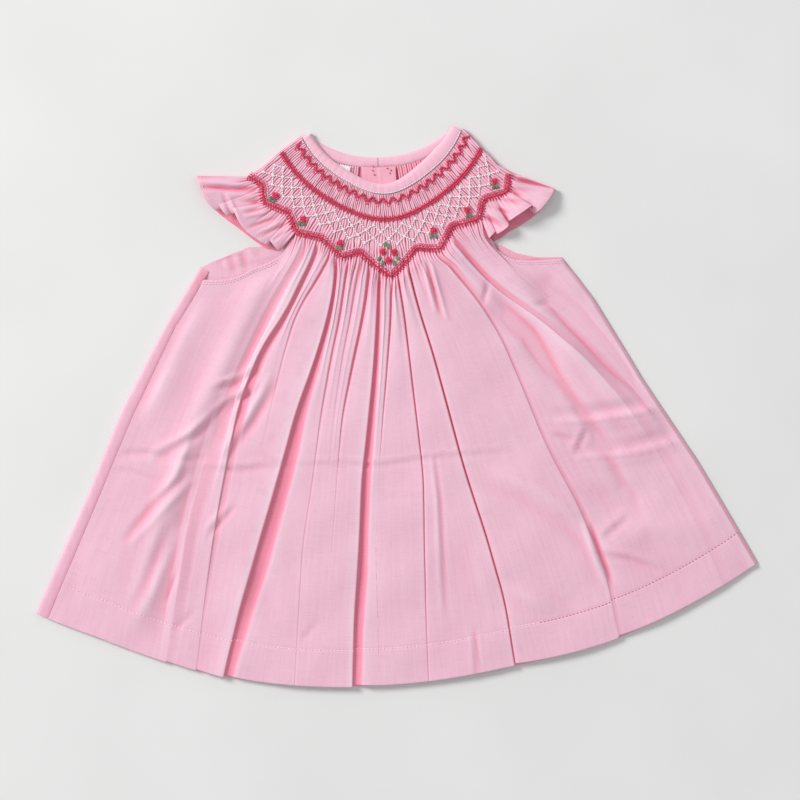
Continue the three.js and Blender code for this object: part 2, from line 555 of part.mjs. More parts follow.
function sleeve(side) {
  const spec = SLEEVES[side];
  const sign = side === "left" ? -1 : 1;
  const wall = new Wall(SLEEVE_CLOTH);
  const frontLevel = YOKE_LEVEL + (CLOTH - SLEEVE_CLOTH) / 2;
  const backLevel = SLEEVE_CLOTH / 2;
  const BEND = 1.4;
  const seamTop = backBand(BACK_SEAM[side].x).beyond;
  const corner = BACK_SEAM[side].corner;
  const apart = GAP + 0.15;
  const backSeam = (share) => {
    const point = mixPoint(seamTop, corner, share);
    const length = Math.hypot(corner[0] - seamTop[0], corner[1] - seamTop[1]);
    const across = [-(corner[1] - seamTop[1]) / length, (corner[0] - seamTop[0]) / length];
    const outward = sign * across[0] > 0 ? 1 : -1;
    return [point[0] + across[0] * outward * apart, point[1] + across[1] * outward * apart];
  };
  const order = (row) => (side === "left" ? row : [...row].reverse());
  // A run from the back seam, round the shoulder fold, to the end of the front half.
  const roundFold = (edge, outward, level) => {
    const run = [];
    const centre = (level + backLevel) / 2;
    const half = (level - backLevel) / 2;
    for (const bend of [180, 135, 90, 45, 0]) {
      const out = BEND * Math.sin(rad(bend)) - BEND - SLEEVE_CLOTH / 2;
      run.push([
        edge[0] + outward[0] * out,
        edge[1] + outward[1] * out,
        centre + half * Math.cos(rad(bend)),
      ]);
    }
    return run;
  };
  const BACK_COLUMNS = 5;
  const seamShares = { smocked: [0, 0.17, 0.5, 0.72], cap: [0.79, 0.86, 0.93, 0.985] };

  // Smocked rows.
  const smockedRows = [0, 0.2, 0.6, 1].map((share, k) => {
    const shoulderTurn = (reach) => read(spec.shoulder, "reach", reach, "turn");
    const edgeTurn = shoulderTurn(mix(63, 108, share));
    const reach = mix(neckReach(edgeTurn) + 0.4, borderReach(edgeTurn), share);
    const edge = fan(YOKE, edgeTurn, reach);
    const outward = [sign * Math.cos(rad(edgeTurn)), sign * Math.sin(rad(edgeTurn))];
    const bend = roundFold(edge, outward, frontLevel);
    const row = [];
    const from = backSeam(seamShares.smocked[k]);
    for (let i = 0; i < BACK_COLUMNS; i++) {
      const plan = mixPoint(from, bend[0].slice(0, 2), i / BACK_COLUMNS);
      if (share === 0 && i > 0) {
        const x = mix(BACK_SEAM[side].x, sign < 0 ? -45.6 : 62, i / BACK_COLUMNS);
        const band = backBand(x);
        const onBand = band.along(band.wide + 0.9);
        plan[0] = onBand[0];
        plan[1] = onBand[1];
      }
      row.push({ at: [...plan, backLevel] });
    }
    bend.forEach((at) => row.push({ at }));
    const start = turnOf(YOKE, bend[bend.length - 1].slice(0, 2));
    const ribs = Math.round(Math.abs(start - spec.seam) / RIB_TURN);
    const count = 2 * (side === "left" ? 14 : 10);
    for (let i = 1; i <= count; i++) {
      const turn = mix(start, spec.seam, i / count);
      const here = mix(neckReach(turn), borderReach(turn), share);
      row.push({ at: [...fan(YOKE, turn, here), frontLevel], lift: (i % 2) * RIB });
    }
    return order(row).map(({ at, lift }) => wall.point(at, lift || 0));
  });
  for (let k = 1; k < smockedRows.length; k++) wall.join(smockedRows[k - 1], smockedRows[k]);

  // The loose cap, from a little below the smocking to the hem.
  const lastTurn = spec.shoulder[spec.shoulder.length - 1].turn;
  const borderEdge = fan(YOKE, lastTurn, borderReach(lastTurn));
  const tip = [spec.tip.x, spec.tip.y];
  const start = [sign * Math.cos(rad(lastTurn)), sign * Math.sin(rad(lastTurn))];
  const capRows = [0.14, 0.4, 0.7, 1].map((share, k) => {
    const edge = mixPoint(borderEdge, tip, share);
    const top = side === "left" ? [-0.15, 0.99] : [0.3, 0.95];
    const outward = mixPoint(start, top, share);
    const length = Math.hypot(...outward);
    const bend = roundFold(edge, outward.map((v) => v / length), mix(frontLevel, spec.tip.z, share));
    const row = [];
    const from = backSeam(seamShares.cap[k]);
    for (let i = 0; i < BACK_COLUMNS; i++) {
      const along = i / BACK_COLUMNS;
      const inner = mixPoint(backSeam(seamShares.smocked[3]), borderEdge, along);
      const place = (1 - along) * (spec.under.length - 1);
      const cell = Math.min(spec.under.length - 2, Math.floor(place));
      const a = spec.under[cell];
      const b = spec.under[cell + 1];
      const hem = mixPoint([a.x, a.y], [b.x, b.y], place - cell);
      const plan = i === 0 ? from : mixPoint(inner, hem, share);
      row.push({ at: [...plan, backLevel] });
    }
    bend.forEach((at) => row.push({ at }));
    spec.hem.forEach((point) => {
      const inner = fan(YOKE, point.turn, borderReach(point.turn));
      const plan = mixPoint(inner, [point.x, point.y], share);
      const z = frontLevel + (point.z - frontLevel) * share ** 1.2;
      row.push({ at: [...plan, z] });
    });
    return order(row).map(({ at }) => wall.point(at));
  });
  for (let k = 1; k < capRows.length; k++) wall.join(capRows[k - 1], capRows[k]);
  wall.zip(smockedRows[smockedRows.length - 1], capRows[0]);
  return wall.mesh(`sleeve_${side}`, side === "left" ? 0xf0b3cb : 0xedb0c8);
}

// The neck binding: one bias strip, round the front on top, over each shoulder and
// round the back beneath, open at the centre back.
const BINDING_WIDTH = [
  { turn: -70, wide: 6.6 },
  { turn: -35, wide: 7.2 },
  { turn: 0, wide: 7.6 },
  { turn: 25, wide: 9.4 },
  { turn: 45, wide: 10 },
  { turn: 68, wide: 7.4 },
];
function neckBinding() {
  const THICK = 1.2;
  const wall = new Wall(THICK);
  const back = THICK / 2;
  const front = YOKE_LEVEL + 0.1;
  const BEND = 1.3;
  const across = [0, 0.5, 1];
  const rows = across.map(() => []);
  const add = (points) => points.forEach((point, k) => rows[k].push(wall.point(point, k === 1 ? 0.45 : 0)));
  const backRun = (x) => {
    const band = backBand(x);
    return across.map((share) => [...band.along(band.wide * share), back]);
  };
  const frontRun = (turn) =>
    across.map((share) => {
      const wide = read(BINDING_WIDTH, "turn", turn, "wide");
      return [...fan(YOKE, turn, neckReach(turn) - GAP - wide * (1 - share)), front];
    });
  const shoulder = (turn, sign) => {
    const runs = [];
    for (const bend of [45, 90, 135]) {
      runs.push(
        across.map((share) => {
          const wide = read(BINDING_WIDTH, "turn", turn, "wide");
          const reach = neckReach(turn) - GAP - wide * (1 - share);
          const out = deg((BEND * Math.sin(rad(bend))) / reach) * sign;
          return [...fan(YOKE, turn + out, reach), (front + back) / 2 - ((front - back) / 2) * Math.cos(rad(bend))];
        }),
      );
    }
    return sign < 0 ? runs : runs.reverse();
  };
  const LEFT_END = -66.8;
  const RIGHT_END = 65.4;
  for (let i = 0; i <= 12; i++) add(backRun(mix(CENTRE_BACK - 0.2, -43.6, i / 12)));
  shoulder(LEFT_END, -1).forEach(add);
  for (let i = 0; i <= 24; i++) add(frontRun(mix(LEFT_END, RIGHT_END, i / 24)));
  shoulder(RIGHT_END, 1).forEach(add);
  for (let i = 0; i <= 12; i++) add(backRun(mix(60, CENTRE_BACK + 0.2, i / 12)));
  wall.join(rows[0], rows[1]);
  wall.join(rows[1], rows[2]);
  return wall.mesh("neck_binding", 0xe9a5c0);
}

// Placket strip and label: flat pieces on the inside of the backs.
function flatPiece(name, outline, bottom, thickness, color) {
  const shape = new THREE.Shape(outline.map(([x, y]) => new THREE.Vector2(x, y)));
  const geometry = new THREE.ExtrudeGeometry(shape, { depth: thickness, bevelEnabled: false, curveSegments: 1 });
  geometry.translate(0, 0, bottom);
  const mesh = new THREE.Mesh(geometry, new THREE.MeshStandardMaterial({ color, roughness: 0.8 }));
  mesh.name = name;
  return mesh;
}
function backPlacket() {
  const top = [];
  const COLUMNS = 6;
  for (let i = 0; i <= COLUMNS; i++) {
    const at = mix(PLACKET.left, PLACKET.right, i / COLUMNS);
    top.push([at, backBand(at).beyond[1]]);
  }
  const outline = [[PLACKET.left, PLACKET.lowest], [PLACKET.right, PLACKET.lowest], ...top.reverse()];
  return flatPiece("back_placket", outline, BACK_CLOTH + GAP, 1, 0xf6cfdf);
}
function neckLabel() {
  const LABEL = { right: -15.6, top: 172.6, wide: 18, high: 10, tilt: -14 };
  const corners = [[0, 0], [0, -LABEL.high], [-LABEL.wide, -LABEL.high], [-LABEL.wide, 0]];
  const outline = corners
    .map(([x, y]) => [
      LABEL.right + x * Math.cos(rad(LABEL.tilt)) - y * Math.sin(rad(LABEL.tilt)),
      LABEL.top + x * Math.sin(rad(LABEL.tilt)) + y * Math.cos(rad(LABEL.tilt)),
    ])
    .reverse();
  return flatPiece("neck_label", outline, 2.2, 0.5, 0xffffff);
}

const group = new THREE.Group();
group.name = "smocked_dress";
group.add(frontPanel(), backPanel("left"), backPanel("right"));
group.add(sleeve("left"), sleeve("right"), neckBinding(), backPlacket(), neckLabel());
export default group;
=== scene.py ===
# A baby's pink smocked dress laid flat on its back, seen from straight above.
# The tables are in millimetres in the frame of the solids; the meshes are made in metres.
import math

import bpy
import numpy as np
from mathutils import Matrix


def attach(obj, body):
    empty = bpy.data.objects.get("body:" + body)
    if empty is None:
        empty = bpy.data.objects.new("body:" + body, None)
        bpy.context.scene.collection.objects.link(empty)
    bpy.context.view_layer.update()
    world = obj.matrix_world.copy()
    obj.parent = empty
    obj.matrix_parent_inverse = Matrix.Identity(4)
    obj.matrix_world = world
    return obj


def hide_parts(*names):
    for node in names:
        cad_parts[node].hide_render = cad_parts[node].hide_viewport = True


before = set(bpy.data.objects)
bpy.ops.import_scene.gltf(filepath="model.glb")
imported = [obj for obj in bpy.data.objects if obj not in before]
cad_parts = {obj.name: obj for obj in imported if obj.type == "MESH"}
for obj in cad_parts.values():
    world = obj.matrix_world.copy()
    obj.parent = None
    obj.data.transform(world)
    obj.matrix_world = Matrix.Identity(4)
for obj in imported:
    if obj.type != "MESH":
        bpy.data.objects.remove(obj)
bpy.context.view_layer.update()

MM = 0.001
GAP = 0.3
SEED = 11

# Centres of the smocking's fan and of the skirt's folds, higher up.
YOKE = (9.0, 219.0)
APEX = (0.0, 330.0)

# Levels of the cloth above the surface it lies on.
FRONT_FLOOR = 3.1
GROOVE_LEVEL = 3.5
RIB_HEIGHT = 1.8
THREAD_LEVEL = 5.35
BACK_FLOOR = 0.75

RIB_TURN = 2.03
COLUMNS_PER_RIB = 10
SEAM_LEFT = -36.0
SEAM_RIGHT = 36.9
HEM_DEPTH = 26.0
HEM_REACH = 528.0
CENTRE_BACK = 4.6

# The level of painted shading on plain cloth: below it, a painted highlight on the crests of pleats; above
# it, painted shade in folds and grooves.
PLAIN_SHADING_LEVEL = 0.1


# Small helpers: all of them take numbers or numpy arrays.
def mix(a, b, t):
    return a + (b - a) * t


def ease(start, end, value):
    t = np.clip((value - start) / (end - start), 0, 1)
    return t * t * (3 - 2 * t)


def bell(value, width):
    return np.exp(-((value / width) ** 2))


def fan(centre, turn, reach):
    angle = np.radians(turn)
    return centre[0] + reach * np.sin(angle), centre[1] - reach * np.cos(angle)


def turn_of(centre, x, y):
    return np.degrees(np.arctan2(x - centre[0], centre[1] - y))


def reach_of(centre, x, y):
    return np.hypot(x - centre[0], centre[1] - y)


# Distance along a line up to each of its points.
def run_length(x, y):
    return np.concatenate([[0], np.cumsum(np.hypot(np.diff(x), np.diff(y)))])


def unit(vectors):
    return vectors / np.maximum(np.linalg.norm(vectors, axis=-1, keepdims=True), 1e-6)


# A row of values averaged with its neighbours, by a kernel of odd length.
def blurred(values, kernel):
    return np.convolve(np.pad(values, len(kernel) // 2, "edge"), kernel, "valid")


# The value at some place in a table whose first column holds the places.
def read(table, at, column=1):
    rows = np.array(table, dtype=float)
    return np.interp(at, rows[:, 0], rows[:, column])


# Reads a table whose corners are rounded off over a few millimetres.
def smooth_read(keys, values, at, window=24.0):
    steps = np.linspace(-0.5, 0.5, 7) * window
    return sum(np.interp(at + step, keys, values) for step in steps) / len(steps)


# Smocking: the neck edge, and the lower edge with a row for each point and each notch.
def neck_reach(turn):
    return 62.5 + 5.6 * bell(turn, 21)


BORDER = [
    (-63.5, 110.3), (-58.3, 104.6), (-52.2, 111.8), (-42.7, 104.7), (-35.9, 112.8), (-26.3, 108),
    (-17, 116.6), (-11.1, 110.5), (0, 127.6), (10.3, 109.7), (18.5, 115.7), (26.3, 104.6),
    (36.8, 111.4), (42.6, 103), (50.5, 112.9), (57.6, 106.7),
]


def border_reach(turn):
    return read(BORDER, turn)


# Sides of the skirt by reach: the left seam, the left fold and the right edge.
LEFT_SEAM, LEFT_FOLD, RIGHT_EDGE = 1, 2, 3
SIDES = [
    (234, -27.6, -29.2, 29.4), (262, -28.2, -29.7, 29.7), (303, -29.1, -30.3, 30.2),
    (370, -29.1, -30.4, 29.8), (440, -28.6, -29.6, 29.9), (530, -28.2, -29.2, 29.4),
]
HEM = [(-29.2, 530.4), (-24, 528.6), (-14, 532), (-4, 530.2), (8, 526.6), (16.5, 529), (29.4, 525.7)]
FRONT_ARMHOLE_LEFT = [
    (-28.3, 263.6), (-25.2, 257.4), (-23.2, 251), (-21.3, 242.1), (-19.1, 234.9), (-17.2, 227),
]
FRONT_ARMHOLE_RIGHT = [(20.9, 237.5), (21.9, 245.4), (23, 251), (25.1, 256.5), (29.6, 267)]
BACK_ARMHOLE_LEFT = [
    (-29.1, 256.5), (-27.9, 248.7), (-25.8, 238.5), (-23.6, 230), (-21.2, 226.3), (-17.9, 226),
]
BACK_ARMHOLE_RIGHT = [(20.4, 233), (21.9, 236.5), (23.7, 247), (26.4, 257), (29.6, 266)]

# Folds of the skirt's front, from the left of the picture. turns is where the crest runs at
# each of FOLD_REACHES; at each of FOLD_STATIONS, dark is the width of the recess to the right
# of the crest and rise the crest's height. tuck is how far the recess runs back under the
# crest, and far the height of the recess's other side as a share of the crest. soft rounds the
# fold off; the ground between the main ones carries the others.
FOLD_REACHES = (222, 240, 265, 295, 335, 380, 430, 480, 528)
FOLD_STATIONS = (235, 295, 370, 450, 490, 528)
FOLDS = [
    dict(turns=(-14.3, -16.0, -17.8, -19.0, -20.0, -20.1, -19.9, -19.1, -18.5),
         dark=(4, 6, 9, 9, 8, 6), rise=(1.6, 1.5, 2.0, 2.2, 1.2, 0.5), tuck=0.3, far=0.3, soft=0.8),
    dict(main=True, turns=(-11.6, -13.2, -14.6, -17.1, -18.1, -17.8, -17.3, -16.7, -16.1),
         dark=(3, 6.4, 6, 4, 2.4, 2), rise=(3, 4.0, 1.6, 0.8, 0.35, 0.2), tuck=1.4, far=0.5, soft=0.15),
    dict(turns=(-8.9, -10.8, -13.2, -13.9, -14.3, -14.5, -14.5, -14.4, -14.5),
         dark=(2.4, 1.6, 1.4, 1, 1, 1), rise=(2.4, 0.5, 0, 0, 0, 0), tuck=0.3, far=0.8, soft=0.2),
    dict(main=True, turns=(-7.8, -7.6, -8.2, -9.4, -11.1, -12.0, -12.9, -13.6, -13.9),
         dark=(2.6, 4.8, 10.5, 12, 10, 7), rise=(2.7, 3.0, 3.0, 2.8, 2.5, 2.2), tuck=1.6, far=0.72),
    dict(turns=(-5.5, -6.0, -6.5, -7.4, -8.1, -8.4, -8.8, -8.6, -8.4),
         dark=(2, 2.2, 1.6, 1.2, 1, 1), rise=(2.2, 1.3, 0.3, 0.2, 0.2, 0.2), tuck=0.5, far=0.95, soft=0.1),
    dict(turns=(-3.2, -4.1, -4.8, -5.8, -6.5, -6.8, -7.2, -7.4, -7.5),
         dark=(2, 1.5, 1, 1, 1, 1), rise=(2.0, 0.4, 0, 0, 0, 0), tuck=0.2, far=0.8, soft=0.4),
    dict(turns=(-1.7, -2.1, -3.0, -4.3, -5.5, -5.8, -6.0, -6.1, -6.2),
         dark=(2.6, 2.4, 1.2, 0.8, 0.8, 0.8), rise=(2.6, 1.8, 0.2, 0, 0, 0), tuck=0.8, far=0.85),
    dict(main=True, turns=(-0.1, -0.2, -0.7, -1.3, -2.2, -3.1, -3.4, -3.8, -3.9),
         dark=(2.6, 4, 7, 7.8, 7, 7), rise=(2.8, 3.0, 2.9, 2.8, 2.5, 2.2), tuck=1.6, far=0.9),
    dict(turns=(2.0, 1.9, 1.4, 0.5, -0.5, -1.3, -1.8, -1.8, -1.8),
         dark=(1.8, 1.4, 0.8, 0.6, 0.6, 0.6), rise=(2.4, 1.4, 0, 0, 0, 0), tuck=0.6, far=0.9),
    dict(turns=(3.2, 3.2, 3.5, 3.5, 3.5, 3.5, 2.8, 2.3, 2.0),
         dark=(1.4, 1.1, 0.9, 0.8, 0.7, 0.6), rise=(2.4, 2.0, 1.5, 1.1, 0.6, 0.4), tuck=0.6, far=0.97),
    dict(main=True, turns=(5.1, 5.3, 5.9, 6.8, 7.4, 7.9, 8.7, 9.1, 8.8),
         dark=(1.5, 1.3, 1.3, 1.2, 1.1, 1.0), rise=(2.7, 2.6, 2.6, 2.4, 2.1, 1.8), tuck=1.0, far=0.93),
    dict(turns=(10.6, 12.5, 15.0, 16.5, 16.9, 17.1, 18.0, 18.1, 17.2),
         dark=(2, 2.4, 3, 4, 3.4, 3), rise=(2.4, 1.4, 1.3, 1.7, 1.4, 0.6), tuck=0.5, far=0.5, soft=0.35),
    dict(main=True, turns=(14.2, 15.9, 18.5, 22.4, 25.4, 26.9, 27.2, 26.9, 26.3),
         dark=(4.2, 4.2, 7, 8, 7, 6), rise=(3.4, 1.3, 0.5, 0.4, 0.3, 0.3), tuck=1.5, far=0.5, soft=0.4),
]

# Creases pressed into the cloth: depth (a ridge is negative), half width, and the points that
# each runs through.
CREASES = [
    (-1.3, 8.0, [(-79, 104), (-106, 55), (-147, -20), (-171, -86), (-189, -143)]),
    (1.0, 6.0, [(-70, 98), (-94, 50), (-131, -24), (-155, -88), (-172, -146)]),
    (1.1, 5.0, [(66, 100), (102, 50), (148, -24), (176, -88)]),
    (-0.9, 1.6, [(31, 112), (34, 92), (39, 66)]),
    (-0.9, 1.6, [(36, 114), (40, 92), (47, 60)]),
    (0.8, 1.3, [(34, 112), (37, 92), (43, 64)]),
    (0.7, 2.2, [(-203, -22), (-185, -23), (-169, -24)]),
    (-0.9, 2.6, [(-169, -23), (-141, -10), (-125, 3)]),
    (0.8, 3.0, [(-165, -29), (-139, -15), (-126, -5)]),
    (0.6, 2.0, [(-208, -32), (-188, -36), (-161, -46)]),
    (-0.8, 2.2, [(-120, 24), (-103, 28), (-96, 33)]),
    (0.7, 2.6, [(-122, 18), (-103, 23), (-90, 31)]),
    (-0.9, 2.6, [(-123, 6), (-106, 16), (-92, 21)]),
    (0.9, 2.6, [(-122, 0), (-106, 10), (-92, 15)]),
    (0.6, 2.2, [(-132, -38), (-107, -40), (-78, -38)]),
    (-0.5, 2.0, [(-132, -34), (-107, -36), (-78, -34)]),
    (-0.9, 3.4, [(-119, -26), (-101, -4), (-83, 25)]),
    (0.6, 3.0, [(-113, -28), (-95, -6), (-78, 20)]),
    (-0.9, 3.0, [(-169, -57), (-154, -42), (-142, -16)]),
    (0.6, 2.2, [(-185, -23), (-167, -25), (-150, -30), (-132, -30)]),
    (0.8, 2.8, [(-146, -40), (-172, -63), (-192, -84)]),
    (-0.8, 2.6, [(-143, -46), (-167, -67), (-187, -87)]),
    (0.6, 1.7, [(-113, -67), (-133, -86)]),
    (-0.6, 2.0, [(-117, -65), (-134, -79)]),
    (0.8, 1.4, [(-158, -113), (-167, -133)]),
    (0.8, 4.0, [(-190, -135), (-180, -118), (-162, -79)]),
    (-0.7, 4.0, [(-183, -138), (-173, -120), (-154, -82)]),
    (0.5, 2.2, [(-147, -140), (-161, -151)]),
    (0.35, 2.2, [(-58, -152), (-70, -164), (-86, -154)]),
    (0.3, 2.0, [(-75, -39), (-35, -40), (-7, -43), (20, -40), (51, -39), (87, -38)]),
    (-0.45, 1.2, [(-75, -35), (-35, -36), (-7, -39), (20, -36), (51, -35), (87, -34)]),
    (0.25, 1.6, [(-8, -65), (24, -67)]),
    (1.1, 2.0, [(142, -95), (147, -115), (154, -134)]),
    (-0.8, 2.6, [(137, -96), (142, -116), (149, -136)]),
    (0.7, 1.8, [(168, -91), (150, -104)]),
    (-0.5, 2.2, [(165, -87), (147, -100)]),
    (0.7, 2.2, [(148, -116), (166, -120), (187, -129)]),
    (-0.6, 2.4, [(150, -112), (168, -116), (189, -125)]),
    (0.8, 4.2, [(140, -39), (172, -38), (208, -31)]),
    (-1.0, 1.6, [(134, -45), (172, -44), (212, -37)]),
    (-0.5, 4.0, [(138, -49), (174, -48), (212, -41)]),
    (0.7, 1.8, [(143, -25), (134, -41)]),
    (-0.5, 2.0, [(139, -24), (130, -40)]),
    (0.8, 1.6, [(119, -28), (135, -33)]),
    (0.7, 5.0, [(58, -58), (92, -74), (123, -94), (141, -115)]),
    (-0.7, 5.0, [(70, -50), (100, -64), (130, -84)]),
    (-1.1, 6.0, [(81, -137), (112, -153)]),
    (0.4, 1.8, [(33, -40), (35, -69), (34, -127), (34, -150)]),
    (-0.4, 2.0, [(30, -40), (32, -69), (31, -127), (31, -150)]),
    (0.5, 1.5, [(53.5, -165), (53.5, -197)]),
    (-0.4, 1.6, [(50.5, -165), (50.5, -197)]),
    (0.8, 2.0, [(112, 66), (121, 66)]),
    (-2.3, 10.0, [(96, 84), (110, 62), (150, 18), (184, -24)]),
    (2.7, 9.5, [(120, 76), (150, 38), (180, 2)]),
    (1.5, 8.0, [(85, 60), (106, 45), (122, 8)]),
    (0.9, 4.2, [(123, -13), (143, -13), (177, -10), (199, -6)]),
    (-1.0, 1.6, [(121, -18), (143, -19), (177, -16), (201, -12)]),
    (-0.5, 4.0, [(125, -22), (145, -23), (180, -20), (203, -16)]),
    (1.0, 1.7, [(78, 84), (77, 79), (74, 70)]),
    (1.0, 7.0, [(-190, 20), (-170, 60), (-150, 90)]),
    (-0.8, 9.0, [(-168, 0), (-148, 46), (-124, 84)]),
    (0.9, 10.0, [(190, -70), (160, -78), (140, -70)]),
    (-0.9, 9.0, [(210, -100), (180, -98), (160, -112)]),
    (0.8, 9.0, [(-100, -100), (-92, -140)]),
    (0.6, 8.0, [(-20, -90), (-24, -140)]),
    (-0.5, 9.0, [(60, -100), (66, -150)]),
]
BACK_CREASES = [
    (0.5, 1.8, [(-113, 111.5), (-98, 114.3)]), (0.5, 1.6, [(-98, 120.6), (-75, 116.5)]),
    (-0.5, 1.6, [(-93, 110.6), (-75, 113)]), (0.5, 2.0, [(-106, 104), (-86, 107)]),
    (-0.5, 2.2, [(-112, 116), (-92, 118)]), (0.4, 1.6, [(108, 96), (124, 101)]),
    (0.7, 1.8, [(-107, 116), (-104, 110), (-101, 103)]), (0.7, 1.7, [(-98, 118), (-96, 113), (-93, 107)]),
    (-0.7, 2.0, [(-112, 111), (-106, 106), (-99, 103)]), (-0.6, 1.8, [(-102.5, 116), (-97.5, 107)]),
    (0.6, 1.8, [(-115, 113), (-110, 107)]), (-0.6, 1.8, [(-92, 118), (-86, 109)]),
]


# A crease's push on the cloth's height at every point.
def press(x, y, creases):
    total = np.zeros_like(x)
    for depth, width, points in creases:
        points = np.array(points, dtype=float)
        spans = np.hypot(*np.diff(points, axis=0).T)
        length = spans.sum()
        nearest = np.full_like(x, 1e9)
        place = np.zeros_like(x)
        done = 0.0
        for (ax, ay), (bx, by), span in zip(points[:-1], points[1:], spans):
            t = np.clip(((x - ax) * (bx - ax) + (y - ay) * (by - ay)) / span**2, 0, 1)
            away = np.hypot(x - mix(ax, bx, t), y - mix(ay, by, t))
            closer = away < nearest
            nearest = np.where(closer, away, nearest)
            place = np.where(closer, done + t * span, place)
            done += span
        taper = np.sin(np.pi * np.clip(0.08 + 0.84 * place / length, 0, 1)) ** 0.7
        total -= depth * taper * bell(nearest, width)
    return total


# Slow unevenness of cloth that isn't pressed hard flat.
def unevenness(x, y, height, size, seed):
    rng = np.random.default_rng(seed)
    total = np.zeros_like(x)
    for _ in range(9):
        way = rng.uniform(0, 2 * np.pi)
        wave = size * rng.uniform(0.6, 1.7)
        start = rng.uniform(0, 2 * np.pi)
        total += np.sin(2 * np.pi * (x * np.cos(way) + y * np.sin(way)) / wave + start)
    return total * height / 4


# A piece of the scene: data is a mesh, a camera or a light.
def put(name, data):
    piece = bpy.data.objects.new(name, data)
    bpy.context.scene.collection.objects.link(piece)
    return piece


def put_mesh(name, points, faces, material):
    mesh = bpy.data.meshes.new(name)
    mesh.from_pydata((points * MM).tolist(), [], faces)
    mesh.update()
    mesh.shade_smooth()
    mesh.materials.append(material)
    return put(name, mesh)


class Cloth:
    """Rows of points, in millimetres, that are welded into one mesh."""

    def __init__(self, name):
        self.name = name
        self.points = []
        self.marks = []
        self.faces = []
        self.count = 0

    # Adds rows of points; marks holds the weave's two coordinates and the painted shading: shade and
    # highlight painted into the colour.
    def add(self, x, y, z, across=None, along=None, tint=0.0):
        x, y, z = np.broadcast_arrays(np.asarray(x, float), y, z)
        across = x if across is None else across
        along = y if along is None else along
        shade = PLAIN_SHADING_LEVEL + (1 - PLAIN_SHADING_LEVEL) * np.asarray(tint, float)
        marks = np.stack(np.broadcast_arrays(across, along, shade, x)[:3], axis=-1).astype(float)
        self.points.append(np.stack([x, y, z], axis=-1).reshape(-1, 3))
        self.marks.append(marks.reshape(-1, 3))
        ids = self.count + np.arange(x.size).reshape(x.shape)
        self.count += x.size
        return ids

    # Faces between rows of points, turned over where the columns run the other way.
    def join(self, ids, flip=False):
        ids = ids[:, ::-1] if flip else ids
        a, b, c, d = ids[:-1, :-1], ids[1:, :-1], ids[1:, 1:], ids[:-1, 1:]
        self.faces.append(np.stack([a, b, c, d], axis=-1).reshape(-1, 4))

    def place(self, ids):
        return np.concatenate(self.points)[ids]

    # Rolls an open edge over and a little way back underneath, as a narrow hem does.
    def roll(self, edge, inner, thick=0.7, back=2.5, flip=False):
        if flip:
            edge, inner = edge[::-1], inner[::-1]
        at = self.place(edge)
        out = at - self.place(inner)
        out[..., 2] = 0
        out = unit(out)
        across, along, shade = np.concatenate(self.marks)[edge].T
        tint = (shade - PLAIN_SHADING_LEVEL) / (1 - PLAIN_SHADING_LEVEL)
        rows = [edge]
        for push, drop in ((0.28, 0.12), (0.38, 0.5 * thick), (0.2, 0.9 * thick), (-back, thick)):
            x, y, z = (at + out * push).T
            rows.append(self.add(x, y, np.maximum(z - drop, 0.02), across, along, tint))
        self.join(np.stack(rows))

    def build(self, material):
        points, marks = np.concatenate(self.points), np.concatenate(self.marks)
        piece = put_mesh(self.name, points, np.concatenate(self.faces).tolist(), material)
        mesh = piece.data
        weave = mesh.uv_layers.new(name="weave")
        corner = np.empty(len(mesh.loops), dtype=np.int32)
        mesh.loops.foreach_get("vertex_index", corner)
        weave.data.foreach_set("uv", (marks[corner, :2] * MM).astype(np.float32).ravel())
        # Each point's painted shade and painted highlight, as an attribute that the cotton's colour reads.
        tint = mesh.attributes.new("tint", "FLOAT", "POINT")
        tint.data.foreach_set("value", marks[:, 2].astype(np.float32))
        return piece


# Materials. A bump's depth is in metres.
BUMP_DEPTH = 0.0002


def principled(name, roughness, sheen=0.0, sheen_roughness=0.5, specular=0.3):
    material = bpy.data.materials.new(name)
    material.use_nodes = True
    shader = material.node_tree.nodes["Principled BSDF"]
    shader.inputs["Roughness"].default_value = roughness
    shader.inputs["Sheen Weight"].default_value = sheen
    shader.inputs["Sheen Roughness"].default_value = sheen_roughness
    shader.inputs["Specular IOR Level"].default_value = specular
    return material, shader


def srgb(red, green, blue):
    def linear(value):
        value /= 255
        return value / 12.92 if value <= 0.04045 else ((value + 0.055) / 1.055) ** 2.4

    return (linear(red), linear(green), linear(blue), 1.0)


class Nodes:
    """Short names for the nodes that the materials share."""

    def __init__(self, material):
        self.tree = material.node_tree

    # Sets an input to a value, or links it to another node's output.
    def feed(self, socket, value):
        if hasattr(value, "is_linked"):
            self.tree.links.new(value, socket)
        else:
            socket.default_value = value

    def new(self, kind, **inputs):
        node = self.tree.nodes.new(kind)
        for name, value in inputs.items():
            self.feed(node.inputs[name], value)
        return node

    def noise(self, coordinate, scale, detail=2.0):
        mapped = self.new("ShaderNodeMapping", Vector=coordinate, Scale=scale).outputs["Vector"]
        return self.new("ShaderNodeTexNoise", Vector=mapped, Scale=1.0, Detail=detail).outputs["Fac"]

    def math(self, operation, a, b):
        node = self.new("ShaderNodeMath")
        node.operation = operation
        for socket, value in zip(node.inputs, (a, b)):
            self.feed(socket, value)
        return node.outputs[0]

    def ramp(self, factor, stops):
        node = self.new("ShaderNodeValToRGB", Fac=factor)
        while len(node.color_ramp.elements) < len(stops):
            node.color_ramp.elements.new(0.5)
        for element, (place, colour) in zip(node.color_ramp.elements, stops):
            element.position = place
            element.color = colour
        return node.outputs["Color"]

    # Inputs 0, 6 and 7 are the factor and the two colours, and output 2 is the mixed one.
    def multiply(self, a, b):
        node = self.new("ShaderNodeMix")
        node.data_type = "RGBA"
        node.blend_type = "MULTIPLY"
        for socket, value in ((0, 1.0), (6, a), (7, b)):
            self.feed(node.inputs[socket], value)
        return node.outputs[2]

    def bump(self, shader, height, strength):
        node = self.new("ShaderNodeBump", Strength=strength, Distance=BUMP_DEPTH, Height=height)
        self.feed(shader.inputs["Normal"], node.outputs["Normal"])
